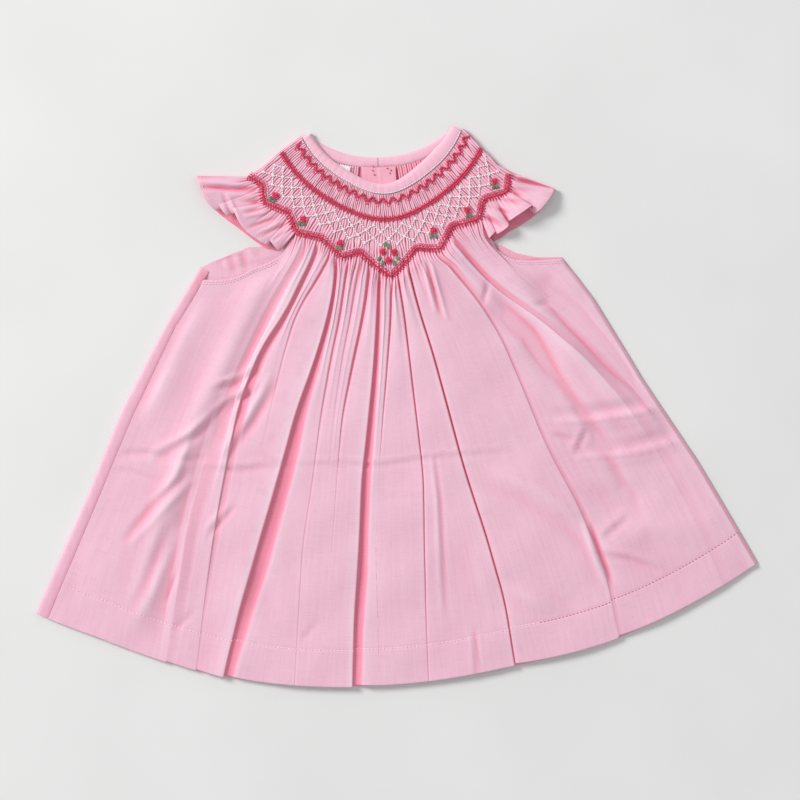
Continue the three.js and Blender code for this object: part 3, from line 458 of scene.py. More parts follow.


# Fine plain-weave cotton: warp and weft threads with slubs, faint blotches, and painted shading:
# deeper painted shade in folds and grooves, a paler painted highlight on crests. The noises' scales are
# for each metre.
def cotton(name, light, fold, deep):
    material, shader = principled(name, 0.82, sheen=0.08, sheen_roughness=0.4, specular=0.12)
    nodes = Nodes(material)
    weave = nodes.new("ShaderNodeUVMap")
    weave.uv_map = "weave"
    coordinate = weave.outputs["UV"]
    warp = nodes.noise(coordinate, (2600, 90, 1))
    weft = nodes.noise(coordinate, (70, 2200, 1))
    threads = nodes.math("ADD", warp, weft)
    slubs = nodes.noise(coordinate, (420, 12, 1), detail=3.0)
    blotches = nodes.noise(coordinate, (14, 14, 1))
    tint = nodes.new("ShaderNodeAttribute")
    tint.attribute_name = "tint"
    # The first colour is a painted highlight for crests; fold and deep are painted shade for folds and for
    # grooves.
    painted_highlight = tuple(1 - 0.6 * (1 - value) for value in light[:3]) + (1.0,)
    stops = [(0.0, painted_highlight), (PLAIN_SHADING_LEVEL, light), (0.6, fold), (1.0, deep)]
    colour = nodes.ramp(tint.outputs["Fac"], stops)
    for pattern, low, high, shade in (
        (threads, 0.75, 1.25, (0.93, 0.9, 0.91, 1)),
        (blotches, 0.3, 0.7, (0.97, 0.95, 0.96, 1)),
        (slubs, 0.35, 0.65, (0.975, 0.95, 0.96, 1)),
    ):
        colour = nodes.multiply(colour, nodes.ramp(pattern, [(low, shade), (high, (1, 1, 1, 1))]))
    nodes.feed(shader.inputs["Base Color"], colour)
    nodes.bump(shader, threads, 0.12)
    return material


# Stranded embroidery thread: a soft gloss with the twist of its strands.
def thread(name, colour, shade):
    material, shader = principled(name, 0.5, sheen=0.3, specular=0.45)
    nodes = Nodes(material)
    where = nodes.new("ShaderNodeTexCoord").outputs["Object"]
    strands = nodes.noise(where, (1500, 1500, 1500))
    patches = nodes.noise(where, (180, 180, 180), detail=1.0)
    both = nodes.math("ADD", nodes.math("MULTIPLY", strands, 0.6), nodes.math("MULTIPLY", patches, 0.4))
    nodes.feed(shader.inputs["Base Color"], nodes.ramp(both, [(0.35, shade), (0.6, colour)]))
    nodes.bump(shader, strands, 0.5)
    return material


# Each cloth's own colour, then the painted shade of its folds and the deeper painted shade of its grooves.
COTTON = cotton("pink_cotton", srgb(246, 199, 217), srgb(248, 152, 176), srgb(160, 30, 74))
# A pinker, more saturated copy of the cotton for the back's right half and the placket, which lie in shade
# under the front: painted shade colours.
SHADED_COTTON = cotton("pink_cotton_shaded_copy", srgb(252, 184, 204), srgb(250, 148, 170), srgb(214, 66, 106))
BINDING = cotton("binding_cotton", srgb(252, 200, 217), srgb(246, 146, 168), srgb(196, 70, 106))
CRIMSON = thread("crimson_thread", srgb(232, 40, 92), srgb(190, 18, 66))
ROSE_PINK = thread("light_crimson_thread", srgb(244, 100, 138), srgb(222, 62, 106))
PALE_PINK = thread("pale_pink_thread", srgb(252, 190, 208), srgb(240, 150, 176))
WHITE = thread("white_thread", srgb(255, 253, 254), srgb(246, 240, 244))
SEWING = thread("pink_sewing_thread", srgb(255, 234, 242), srgb(250, 206, 222))
# A darker copy of the sewing thread: painted shade, for the hem's right end.
PAINTED_SHADE_SEWING = thread("shaded_sewing_thread", srgb(206, 122, 152), srgb(176, 90, 122))
GREEN = thread("leaf_thread", srgb(126, 148, 108), srgb(80, 108, 76))
LABEL = cotton("label_tape", srgb(250, 250, 250), srgb(226, 222, 224), srgb(200, 196, 200))


# Stitches: short arched lengths of thread, all in one mesh. Each is (start, end, radius,
# arch), its ends sunk into the cloth. RUN and SWELL are the places along a stitch where it
# has a ring of points, and how full it is there.
RING = np.radians(np.arange(0, 360, 60))
RUN = np.array([0.0, 0.18, 0.5, 0.82, 1.0])
SWELL = np.array([0.55, 0.92, 1.0, 0.92, 0.55])


def stitches(name, rows, material):
    starts, ends, radius, arch = (np.array(column, float) for column in zip(*rows))
    way = unit(ends - starts)
    side = unit(np.cross(way, [0.0, 0.0, 1.0]))
    up = np.cross(side, way)
    centre = starts[:, None] + (ends - starts)[:, None] * RUN[:, None]
    centre[..., 2] += arch[:, None] * (4 * RUN * (1 - RUN)) - 0.4 * radius[:, None]
    ring = np.cos(RING)[:, None] * side[:, None, None] + np.sin(RING)[:, None] * up[:, None, None]
    body = centre[:, :, None] + ring * (radius[:, None] * SWELL)[:, :, None, None]
    poles = np.stack([starts, ends], axis=1)
    poles[..., 2] -= 0.6 * radius[:, None]
    points = np.concatenate([body.reshape(len(rows), -1, 3), poles], axis=1)
    sides, size = len(RING), len(RING) * len(RUN)
    last = size - sides
    around = [(i, (i + 1) % sides) for i in range(sides)]
    quads = [
        [k + i, k + j, k + sides + j, k + sides + i] for k in range(0, last, sides) for i, j in around
    ]
    caps = [[j, i, size] for i, j in around] + [[last + i, last + j, size + 1] for i, j in around]
    first = np.arange(len(rows))[:, None, None] * points.shape[1]
    quads = (np.array(quads) + first).reshape(-1, 4).tolist()
    caps = (np.array(caps) + first).reshape(-1, 3).tolist()
    return put_mesh(name, points.reshape(-1, 3), quads + caps, material)


# Points at an even spacing along a path.
def along_path(path, spacing):
    path = np.asarray(path, float)
    done = np.concatenate([[0], np.cumsum(np.linalg.norm(np.diff(path, axis=0), axis=1))])
    at = np.arange(0, done[-1], spacing)
    return np.stack([np.interp(at, done, path[:, k]) for k in range(3)], axis=1)


# A run of machine stitches on a line of the cloth, each arched by the same small amount.
RUN_STEP = 0.1
RUN_ARCH = 0.12


def seam_run(path, length=1.8, spacing=2.7, radius=0.24, lift=0.3):
    fine = along_path(path, RUN_STEP) + (0, 0, lift)
    step, reach = int(spacing / RUN_STEP), int(length / RUN_STEP)
    return [(fine[i], fine[i + reach], radius, RUN_ARCH) for i in range(0, len(fine) - reach, step)]


# A flat vector that points the given way, in degrees from the X axis.
def heading(angle):
    return np.array([math.cos(math.radians(angle)), math.sin(math.radians(angle)), 0])


def left_of(way):
    return np.array([-way[1], way[0], 0])


# The front: smocking and skirt in one piece of cloth.
# A pleat's height across it: narrow grooves at its sides and a fainter one down its middle.
def rib_profile(phase):
    return 1 - np.abs(2 * phase - 1) ** 4.6 - 0.62 * bell(phase - 0.5, 0.11)


def pleat_profile(column):
    return rib_profile((column % COLUMNS_PER_RIB) / COLUMNS_PER_RIB)


# How far below the neck the rows of stitches lie: the wave, the cable and the trellis.
WAVE_DOWN = 4.2
CABLE_DOWN = 17.4
TRELLIS = (22.0, 26.6, 31.4, 35.8)
TRELLIS_TURN = 6.5


# The trellis's corners between two turns, each with its number.
def trellis_turns(low, high):
    first = math.ceil(low / (TRELLIS_TURN / 2))
    last = math.floor(high / (TRELLIS_TURN / 2))
    return [(k, k * TRELLIS_TURN / 2) for k in range(first, last + 1)]


# Smocked cloth between two turns: returns x, y, z and the painted shading for rows by columns.
def smocking(first_turn, last_turn, ribs, rows, seed):
    rng = np.random.default_rng(seed)
    columns = ribs * COLUMNS_PER_RIB
    index = np.arange(columns + 1)
    rib = index / COLUMNS_PER_RIB
    rib_turn = (last_turn - first_turn) / ribs
    turn = mix(first_turn, last_turn, index / columns)
    neck = neck_reach(turn)
    reach = mix(neck, border_reach(turn), np.linspace(0, 1, rows)[:, None])
    down = reach - neck
    # Neighbouring pleats are caught together in pairs, one pair up and the next down.
    squeeze = 0.16 * (bell(down - WAVE_DOWN, 2.4) - bell(down - CABLE_DOWN, 2.2))
    shift = squeeze * np.sin(np.pi * rib) * rib_turn
    sway = rng.uniform(0, 2 * np.pi, ribs + 2)
    pace = rng.uniform(0.16, 0.42, ribs + 2)
    cell = np.minimum(np.round(rib).astype(int), ribs + 1)
    shift = shift + 0.11 * rib_turn * np.sin(down * pace[cell] + sway[cell])
    for k, vertex in trellis_turns(first_turn - 4, last_turn + 4):
        for level in range(len(TRELLIS)):
            if (level + k) % 2 == 0:
                pull = bell(turn - vertex, 2.3) * bell(down - TRELLIS[level], 2.6)
                shift = shift - 0.36 * (turn - vertex) * pull
    ends = np.minimum(index, columns - index) / COLUMNS_PER_RIB
    crest = 1 + 0.16 * rng.uniform(-1, 1, ribs + 1)[np.floor(rib).astype(int)]
    wobble = 1 + 0.12 * np.sin(down * 0.5 + sway[cell] * 2)
    # Each groove is deeper in some stretches than in others.
    groove = np.round(rib * 2).astype(int)
    depth_sway = rng.uniform(0, 2 * np.pi, 2 * ribs + 2)[groove]
    depth_pace = rng.uniform(0.15, 0.55, 2 * ribs + 2)[groove]
    depth = 0.76 + 0.24 * np.sin(down * depth_pace + depth_sway)
    profile = 1 - (1 - pleat_profile(index)) * depth
    pinch = bell(down - WAVE_DOWN, 2.0) + bell(down - CABLE_DOWN, 1.8)
    height = RIB_HEIGHT * crest * wobble * (1 - 0.22 * np.minimum(pinch, 1))
    x, y = fan(YOKE, turn + shift * ease(0, 1, ends), reach)
    z = GROOVE_LEVEL + height * profile
    # Painted shade in the grooves, and a painted highlight on the crests of the pleats.
    tint = np.clip(1.15 * (1 - profile) - 0.11, -0.11, 1)
    return x, y, z, tint


# Offsets across a fold: (share of the recess's width, share of the tuck, millimetres, height
# as a share of the crest, height as a share of the far side, painted shade in the recess).
FOLD_PROFILE = [
    (0, 0, -3.0, 0.94, 0, 0),
    (0, 0, -1.6, 0.98, 0, 0),
    (0, 0, -0.7, 1.00, 0, 0),
    (0, 0, -0.12, 0.96, 0, 0.1),
    (0.03, -0.05, 0.06, 0.80, 0, 0.4),
    (0.12, -0.45, 0, 0.50, 0, 0.62),
    (0.26, -0.90, 0, 0.20, 0, 0.6),
    (0.44, -0.80, 0, 0.03, 0, 0.6),
    (0.66, -0.20, 0, 0.00, 0.10, 0.58),
    (0.88, 0, 0, 0.00, 0.40, 0.48),
    (1.00, 0, 0.15, 0.00, 0.86, 0.12),
    (1.00, 0, 1.3, 0.00, 1.00, 0),
]
FOLD_COLUMNS = len(FOLD_PROFILE)
# The first columns of the profile are on the crest, and a fold takes up the two spans beside
# its recess. From FULL_RISE on, a fold is shaded in full.
CREST_COLUMNS = 4
LEFT_SPAN = 3.0
RIGHT_SPAN = 1.3
FULL_RISE = 2.6

# How the skirt's columns are laid out, and the weave's width for each column of a pleat.
ARMHOLE_REACH = 240.0
ARMHOLE_TOPS = (FRONT_ARMHOLE_LEFT[-1][0], FRONT_ARMHOLE_RIGHT[0][0])
ARMHOLE_LEFT_COLUMNS = 34
ARMHOLE_RIGHT_COLUMNS = 30
COLUMN_WIDTH = 2.6
WEAVE_STEP = 1.1
FRONT_RIBS = round((SEAM_RIGHT - SEAM_LEFT) / RIB_TURN)
YOKE_COLUMNS = FRONT_RIBS * COLUMNS_PER_RIB
YOKE_ROWS = 46
SKIRT_ROWS = 132
# The rows of the turned-up hem, by how far each is from the edge.
HEM_ROWS = np.array([27, 26.4, 25.8, 25.2, 24, 21, 17, 13, 9.5, 6.5, 4, 2, 0.8, 0])


# Reads a column's values, kept at its own reaches, at other reaches.
def at_reach(reach, values, column, target):
    return np.interp(reach[:, target], reach[:, column], values[:, column])


# How far across the outer panels each column runs: the ones from the armholes keep to where
# they start, and the ones from the smocking pass inside the armholes' upper ends. first is the
# column where the folds begin, last where they end.
def outer_ways(start_turns, first, last):
    ways = np.zeros_like(start_turns)
    left_fold, right_fold = FOLDS[0], FOLDS[-1]
    dark = smooth_read(FOLD_STATIONS, right_fold["dark"], ARMHOLE_REACH)
    crest = smooth_read(FOLD_REACHES, right_fold["turns"], ARMHOLE_REACH)
    inner = crest + np.degrees((dark + RIGHT_SPAN) / ARMHOLE_REACH)
    corner, rim = ARMHOLE_TOPS[1], SIDES[0][RIGHT_EDGE]
    target = start_turns.copy()
    border = np.arange(last, np.flatnonzero(start_turns < corner - 0.01)[-1] + 1)
    target[border] = mix(inner, corner, (border - last) / (len(border) + 1))
    ways[last:] = ((target - inner) / (rim - inner))[last:]
    crest = smooth_read(FOLD_REACHES, left_fold["turns"], ARMHOLE_REACH)
    inner = crest - np.degrees(LEFT_SPAN / ARMHOLE_REACH)
    corner, rim = ARMHOLE_TOPS[0], SIDES[0][LEFT_SEAM]
    border = np.arange(np.flatnonzero(start_turns > corner + 0.01)[0], first + 1)
    target[border] = mix(inner, corner, (first - border) / (len(border) + 1))
    ways[:first + 1] = ((target - rim) / (inner - rim))[:first + 1]
    return np.clip(ways, 0, 1)


# Every column of some panels, with the columns at its panel's two sides, and whether the panel
# is the first or the last one: those have their outermost column too.
def panel_columns(panels):
    for k, (left, right) in enumerate(panels):
        first, final = k == 0, k == len(panels) - 1
        for c in range(left if first else left + 1, right + 1 if final else right):
            yield c, left, right, first, final


# Turn, height and painted shade of every column of the skirt at the given reaches (rows, columns).
def folded_skirt(reach, start_reach, start_turns):
    rim = reach.shape[1] - 1
    turn, height, tint, shapes = (np.zeros_like(reach) for _ in range(4))
    # Which column each fold starts at: as near as can be to where it leaves the smocking.
    places = []
    free = 3
    for fold in FOLDS:
        ideal = int(np.argmin(np.abs(start_turns - fold["turns"][0]))) - CREST_COLUMNS
        free = max(free, ideal)
        places.append(free)
        free += FOLD_COLUMNS + 1
    ends = [place + FOLD_COLUMNS - 1 for place in places]
    crests = [smooth_read(FOLD_REACHES, fold["turns"], reach) for fold in FOLDS]
    darks = [smooth_read(FOLD_STATIONS, fold["dark"], reach) for fold in FOLDS]
    rises = [smooth_read(FOLD_STATIONS, fold["rise"], reach) for fold in FOLDS]
    squeezes = [np.ones_like(reach)]
    for dark, crest, following in zip(darks, crests, crests[1:]):
        room = np.radians(following - crest) * reach
        squeezes.append(np.clip(0.88 * room / (dark + LEFT_SPAN + RIGHT_SPAN), 0.1, 1))
    squeezes.append(np.ones_like(reach))
    for k, fold in enumerate(FOLDS):
        soft = fold.get("soft", 0)
        for c, (wide, tuck, fixed, near, far, painted_recess_shade) in enumerate(FOLD_PROFILE, places[k]):
            dark, rise = darks[k][:, c], rises[k][:, c]
            squeeze = squeezes[k if c < places[k] + CREST_COLUMNS else k + 1][:, c]
            under = fold["tuck"] * np.minimum(1, dark / 4) * (1 - soft) * np.clip(rise / 1.2, 0, 1)
            offset = (wide * dark + tuck * under + fixed) * squeeze
            turn[:, c] = crests[k][:, c] + np.degrees(offset / reach[:, c])
            gentle = 0.5 + 0.5 * np.cos(np.pi * np.clip((offset + 1) / (dark + 2), 0, 1))
            shapes[:, c] = mix(near, gentle, soft) + far * fold["far"]
            # Painted shade in the recess, by how high the fold stands.
            tint[:, c] = painted_recess_shade * np.clip(rise / FULL_RISE, 0, 1) * (1 - 0.85 * soft)
    # Panels between the folds and out to the two sides, by where each column leaves its start.
    panels = [(0, places[0]), *zip(ends, places[1:]), (ends[-1], rim)]
    way_out = outer_ways(start_turns, places[0], ends[-1])
    for c, left, right, first, final in panel_columns(panels):
        a = read(SIDES, reach[:, c], LEFT_SEAM) if first else at_reach(reach, turn, left, c)
        b = read(SIDES, reach[:, c], RIGHT_EDGE) if final else at_reach(reach, turn, right, c)
        turn[:, c] = mix(a, b, way_out[c] if first or final else (c - left) / (right - left))
    # The ground between the main folds, from the far side of one up to the crest of the next.
    own = [slice(place, end + 1) for place, end in zip(places, ends)]
    main = [k for k, fold in enumerate(FOLDS) if fold.get("main")]
    for k in main:
        height[:, own[k]] = rises[k][:, own[k]] * shapes[:, own[k]]
    between = [(ends[a], places[b]) for a, b in zip(main, main[1:])]
    grounds = [(0, places[main[0]]), *between, (ends[main[-1]], rim)]
    for c, left, right, first, final in panel_columns(grounds):
        a, b = at_reach(reach, turn, left, c), at_reach(reach, turn, right, c)
        p = np.clip((turn[:, c] - a) / np.maximum(b - a, 0.01), 0, 1)
        za = 0 if first else at_reach(reach, height, left, c)
        zb = 0 if final else at_reach(reach, height, right, c)
        height[:, c] = mix(za, zb, p**1.4)
    # The lesser folds stand on that ground and cut down into it.
    ground = height.copy()
    for k in range(len(FOLDS)):
        if k not in main:
            level, rise = ground[:, own[k]], rises[k][:, own[k]]
            bottom = level * (1 - np.clip(rise / FULL_RISE, 0, 1))
            height[:, own[k]] = mix(bottom, np.maximum(level, rise), np.clip(shapes[:, own[k]], 0, 1))
    above = height - ground
    for c, left, right, first, final in panel_columns(panels):
        p = (c - left) / (right - left)
        before = 0 if first else at_reach(reach, above, left, c)
        after = 0 if final else at_reach(reach, above, right, c)
        plump = (0.33 if first or final else 1.1) * np.sin(np.pi * p)
        plump = plump * np.exp((start_reach[c] - reach[:, c]) / 40)
        height[:, c] = ground[:, c] + before * (1 - p) ** 2 + after * p**2 + plump
    return turn, height, tint


# How far each point lies in a hollow, from 0 to 1: its level against that of the cloth about
# it, row by row. size is how wide the hollow is, and deep how deep one counts in full.
def hollows(x, y, z, size=5.0, deep=1.2):
    out = np.zeros_like(z)
    kernel = bell(np.arange(-12, 13), size * 1.4)
    kernel /= kernel.sum()
    for k in range(len(z)):
        run = np.concatenate([[0], np.cumsum(np.hypot(np.diff(x[k]), np.diff(y[k])) + 1e-4)])
        even = np.arange(0, run[-1], 1.0)
        level = blurred(np.interp(even, run, z[k]), kernel)
        out[k] = np.clip((np.interp(run, even, level) - z[k]) / deep, 0, 1)
    for _ in range(6):
        out[1:-1] = 0.25 * out[:-2] + 0.5 * out[1:-1] + 0.25 * out[2:]
    return out


# Evenly spaced points of an armhole's edge, as turns and reaches. EDGE_REACH is near enough to
# all of them to measure the spacing by.
EDGE_REACH = 250.0


def polar_edge(table, count):
    turns, reaches = np.array(table, float).T
    lengths = run_length(reaches, np.radians(turns) * EDGE_REACH)
    at = np.linspace(0, lengths[-1], count)
    return np.interp(at, lengths, turns), np.interp(at, lengths, reaches)


# Beside a fold the cloth is drawn up a little, which leaves a small step in the hem.
# Each is the turn of the fold's crest, the step's height and how fast it fades.
HEM_STEPS = [
    (-18.5, 0.9, 12), (-16.1, 1.0, 10), (-13.9, 1.9, 16), (-3.9, 1.8, 18), (8.8, 1.7, 20),
    (17.2, 1.6, 18),
]


def hem_reach(turn):
    reach = read(HEM, turn)
    for crest, depth, length in HEM_STEPS:
        past = np.radians(turn - crest) * HEM_REACH
        reach = reach - depth * ease(-0.2, 0.8, past) * np.exp(-np.maximum(past, 0) / length)
    return reach


# The skirt's upper edge: the left armhole, the smocking's lower edge and the right armhole.
# Returns its points, and where each one is on the smocking, in columns.
def skirt_start(border_x, border_y):
    left_turn, left_reach = polar_edge(FRONT_ARMHOLE_LEFT, ARMHOLE_LEFT_COLUMNS + 1)
    right_turn, right_reach = polar_edge(FRONT_ARMHOLE_RIGHT, ARMHOLE_RIGHT_COLUMNS + 1)
    turns = np.concatenate([left_turn[:-1], turn_of(APEX, border_x, border_y), right_turn[1:]])
    reaches = np.concatenate([left_reach[:-1], reach_of(APEX, border_x, border_y), right_reach[1:]])
    x, y = fan(APEX, turns, reaches)
    # More columns where the skirt spreads out.
    hem_turn, _, _ = folded_skirt(np.full((1, len(turns)), HEM_REACH), reaches, turns)
    spread = np.radians(np.abs(np.diff(hem_turn[0]))) * HEM_REACH
    parts = np.clip(np.ceil(spread / COLUMN_WIDTH), 1, 9).astype(int)
    place = np.concatenate([k + np.arange(n) / n for k, n in enumerate(parts)] + [[len(parts)]])
    every = np.arange(len(turns))
    return np.interp(place, every, x), np.interp(place, every, y), place - ARMHOLE_LEFT_COLUMNS


def front_piece():
    cloth = Cloth("front_cloth")
    x, y, z, tint = smocking(SEAM_LEFT, SEAM_RIGHT, FRONT_RIBS, YOKE_ROWS, SEED)
    yoke = cloth.add(x, y, z, np.arange(YOKE_COLUMNS + 1) * WEAVE_STEP, y, tint)
    cloth.join(yoke)

    # The armholes start just below the ends of the smocking.
    start_x, start_y, index = skirt_start(x[-1], y[-1])
    start_turns, start_reach = turn_of(APEX, start_x, start_y), reach_of(APEX, start_x, start_y)
    on_border = (index >= 0) & (index <= YOKE_COLUMNS)
    # Lower down, the rows no longer follow the border's points and the armholes' corners.
    level_reach = start_reach
    for _ in range(3):
        level_reach = blurred(level_reach, np.full(17, 1 / 17))
    end_reach = read(HEM, start_turns * 1.35)
    for _ in range(4):
        turn, _, _ = folded_skirt(end_reach[None], start_reach, start_turns)
        end_reach = hem_reach(turn[0])
    share = (np.linspace(0, 1, SKIRT_ROWS) ** 1.25)[:, None]
    body = mix(start_reach, end_reach - HEM_DEPTH - 2, share)
    body = body + ease(0.01, 0.3, share) * (1 - share) * (level_reach - start_reach)
    reach = np.concatenate([body, end_reach - HEM_ROWS[:, None]])
    turn, fold, tint = folded_skirt(reach, start_reach, start_turns)
    down = reach - start_reach

    # Near the smocking the columns are still its pleats.
    yoke_way = np.radians(turn_of(YOKE, start_x, start_y))
    rib_x = start_x + down * np.sin(yoke_way) * 0.75
    rib_turn = mix(start_turns, turn_of(APEX, rib_x, start_y - down), 0.6)
    turn = mix(np.where(on_border, rib_turn, start_turns), turn, ease(0, 15, down))
    sx, sy = fan(APEX, turn, reach)
    rng = np.random.default_rng(SEED + 12)
    lengths = 5 + 17 * rng.uniform(0, 1, 2 * FRONT_RIBS + 4) ** 1.4
    groove = np.clip(np.round(2 * index / COLUMNS_PER_RIB), 0, 2 * FRONT_RIBS).astype(int)
    grooves = np.where(on_border, 1 - pleat_profile(index), 0) * bell(down, lengths[groove])
    base = np.where(on_border, mix(GROOVE_LEVEL, FRONT_FLOOR, ease(0, 20, down)), FRONT_FLOOR)
    ribs = np.where(on_border, RIB_HEIGHT * (np.exp(-down / 12) - grooves), 0)
    grown = ease(0, 9, down)
    sz = base + ribs + fold * np.where(on_border, grown, ease(2, 30, down))
    # Painted shade in the folds' recesses and in the grooves below the smocking.
    painted_fold_shade = np.maximum(tint * grown, grooves * mix(1.05, 0.7, ease(0, 5, down)))

    # The creases, which leave the two sides alone.
    to_left = np.radians(turn - read(SIDES, reach, LEFT_SEAM)) * reach
    to_right = np.radians(read(SIDES, reach, RIGHT_EDGE) - turn) * reach
    calm = ease(3, 22, down)
    creased = 1.9 * press(sx, sy, CREASES) + unevenness(sx, sy, 0.75, 62, SEED + 1)
    sz += creased * calm * ease(0, 10, to_left) * ease(0, 10, to_right)
    sz += unevenness(sx, sy, 0.05, 14, SEED + 2) * calm
    # The hem is turned up: it is thicker, with a furrow where it is stitched.
    to_hem = end_reach - reach
    sz += 0.3 * ease(HEM_DEPTH + 0.4, HEM_DEPTH - 0.8, to_hem)
    sz -= 0.22 * bell(to_hem - HEM_DEPTH, 0.7)
    # The right side rolls over to meet the back.
    sz = np.maximum(sz, FRONT_FLOOR - 0.9)
    sz -= (sz - 1.6) * (1 - ease(0, 2.2, to_right)) * 0.9
    # Painted shade in hollows, and a painted highlight on ridges.
    painted_hollow_shade = 0.36 * hollows(sx, sy, sz) + 0.14 * hollows(sx, sy, sz, 2.2, 0.6)
    painted_ridge_highlight = 0.07 * hollows(sx, sy, -sz, 4.0, 0.9) * ease(2, 12, down)
    tint = np.maximum(painted_fold_shade, painted_hollow_shade * ease(0, 6, down)) - painted_ridge_highlight * (1 - ease(0, 0.1, painted_fold_shade))
    sz[0] = np.where(on_border, np.interp(index, np.arange(YOKE_COLUMNS + 1), z[-1]), sz[0])
    ids = cloth.add(sx, sy, sz, run_length(sx[-1], sy[-1]), reach, tint)
    cloth.join(ids)

    cloth.roll(ids[-1], ids[-2], thick=0.9)
    for arm in (index <= 0, index >= YOKE_COLUMNS):
        cloth.roll(ids[0, arm], ids[1, arm], flip=True)
    for grid in (yoke, ids):
        cloth.roll(grid[:, 0], grid[:, 1])
        cloth.roll(grid[:, -1], grid[:, -2], thick=0.5, back=1.0, flip=True)
    stitched = (index <= -1.5, index >= YOKE_COLUMNS + 1.5)
    return cloth.build(COTTON), np.stack([sx, sy, sz], axis=-1), to_hem, stitched


# Back band of the neck by the X of its upper edge: points at a distance below that edge.
def back_band(x, distance):
    middle, half = 8.0, 54.0
    out = np.abs(x - middle) / half
    side = np.where(x < middle, -1.0, 1.0)
    y = 178 + 20 * out**2.2
    slope = side * 20 * 2.2 * out**1.2 / half
    length = np.hypot(slope, 1)
    return x + slope / length * distance, y - distance / length


def back_band_width(x):
    return mix(6.3, 7.4, np.minimum(1, np.abs(x - 8.0) / 54.0))


# Points below that band, with some room left between.
def below_back_band(x, room=GAP + 0.15):
    return back_band(x, back_band_width(x) + room)


BACK_SEAM = {"left": (-33.0, (-69.3, 114.9)), "right": (49.0, fan(APEX, 20.4, 233.0))}
BACK_SMOCKED = 25.0
BACK_SMOCKED_ROWS = 12
BACK_SKIRT_ROWS = 84
BACK_PLEAT = 3.1
PLACKET = dict(left=-7.2, right=16.5, lowest=107.0)


# The left back's cloth goes on round the side, and over it to the side seam.
def wrap_side(cloth, edge):
    at = cloth.place(edge)
    reach = reach_of(APEX, at[:, 0], at[:, 1])
    below = reach - reach.min()
    closed = ease(0, 7, below)
    fold_turn = read(SIDES, reach, LEFT_FOLD)
    seam_turn = read(SIDES, reach, LEFT_SEAM) - np.degrees(0.5 / reach)
    rows = [edge]
    for out, level in ((0.2, 0.15), (0.5, 1.2), (0.2, 2.3), (-0.3, 2.7)):
        x, y = fan(APEX, fold_turn - np.degrees(out / reach), reach)
        rows.append(cloth.add(x, y, BACK_FLOOR + level * closed - 0.3))
    gathers = np.sin(reach * 0.62) + 0.8 * np.sin(reach * 0.37 + 1)
    for step in (0.35, 0.7, 0.93, 1.0):
        x, y = fan(APEX, mix(fold_turn, seam_turn, step), reach)
        pucker = 0.2 * gathers * bell(1 - step, 0.5)
        dip = 0.5 * bell(1 - step, 0.1)
        level = mix(BACK_FLOOR + 0.4, 3.15 + pucker - dip, closed)
        # Painted shade, darker by the seam and near the top, under the front's armhole corner.
        shade = 0.08 + 0.1 * bell(1 - step, 0.2) + 0.25 * bell(below, 22)
        rows.append(cloth.add(x, y, level, tint=shade))
    cloth.join(np.stack(rows))
    cloth.roll(rows[-1], rows[-2], thick=0.5, back=0.6)


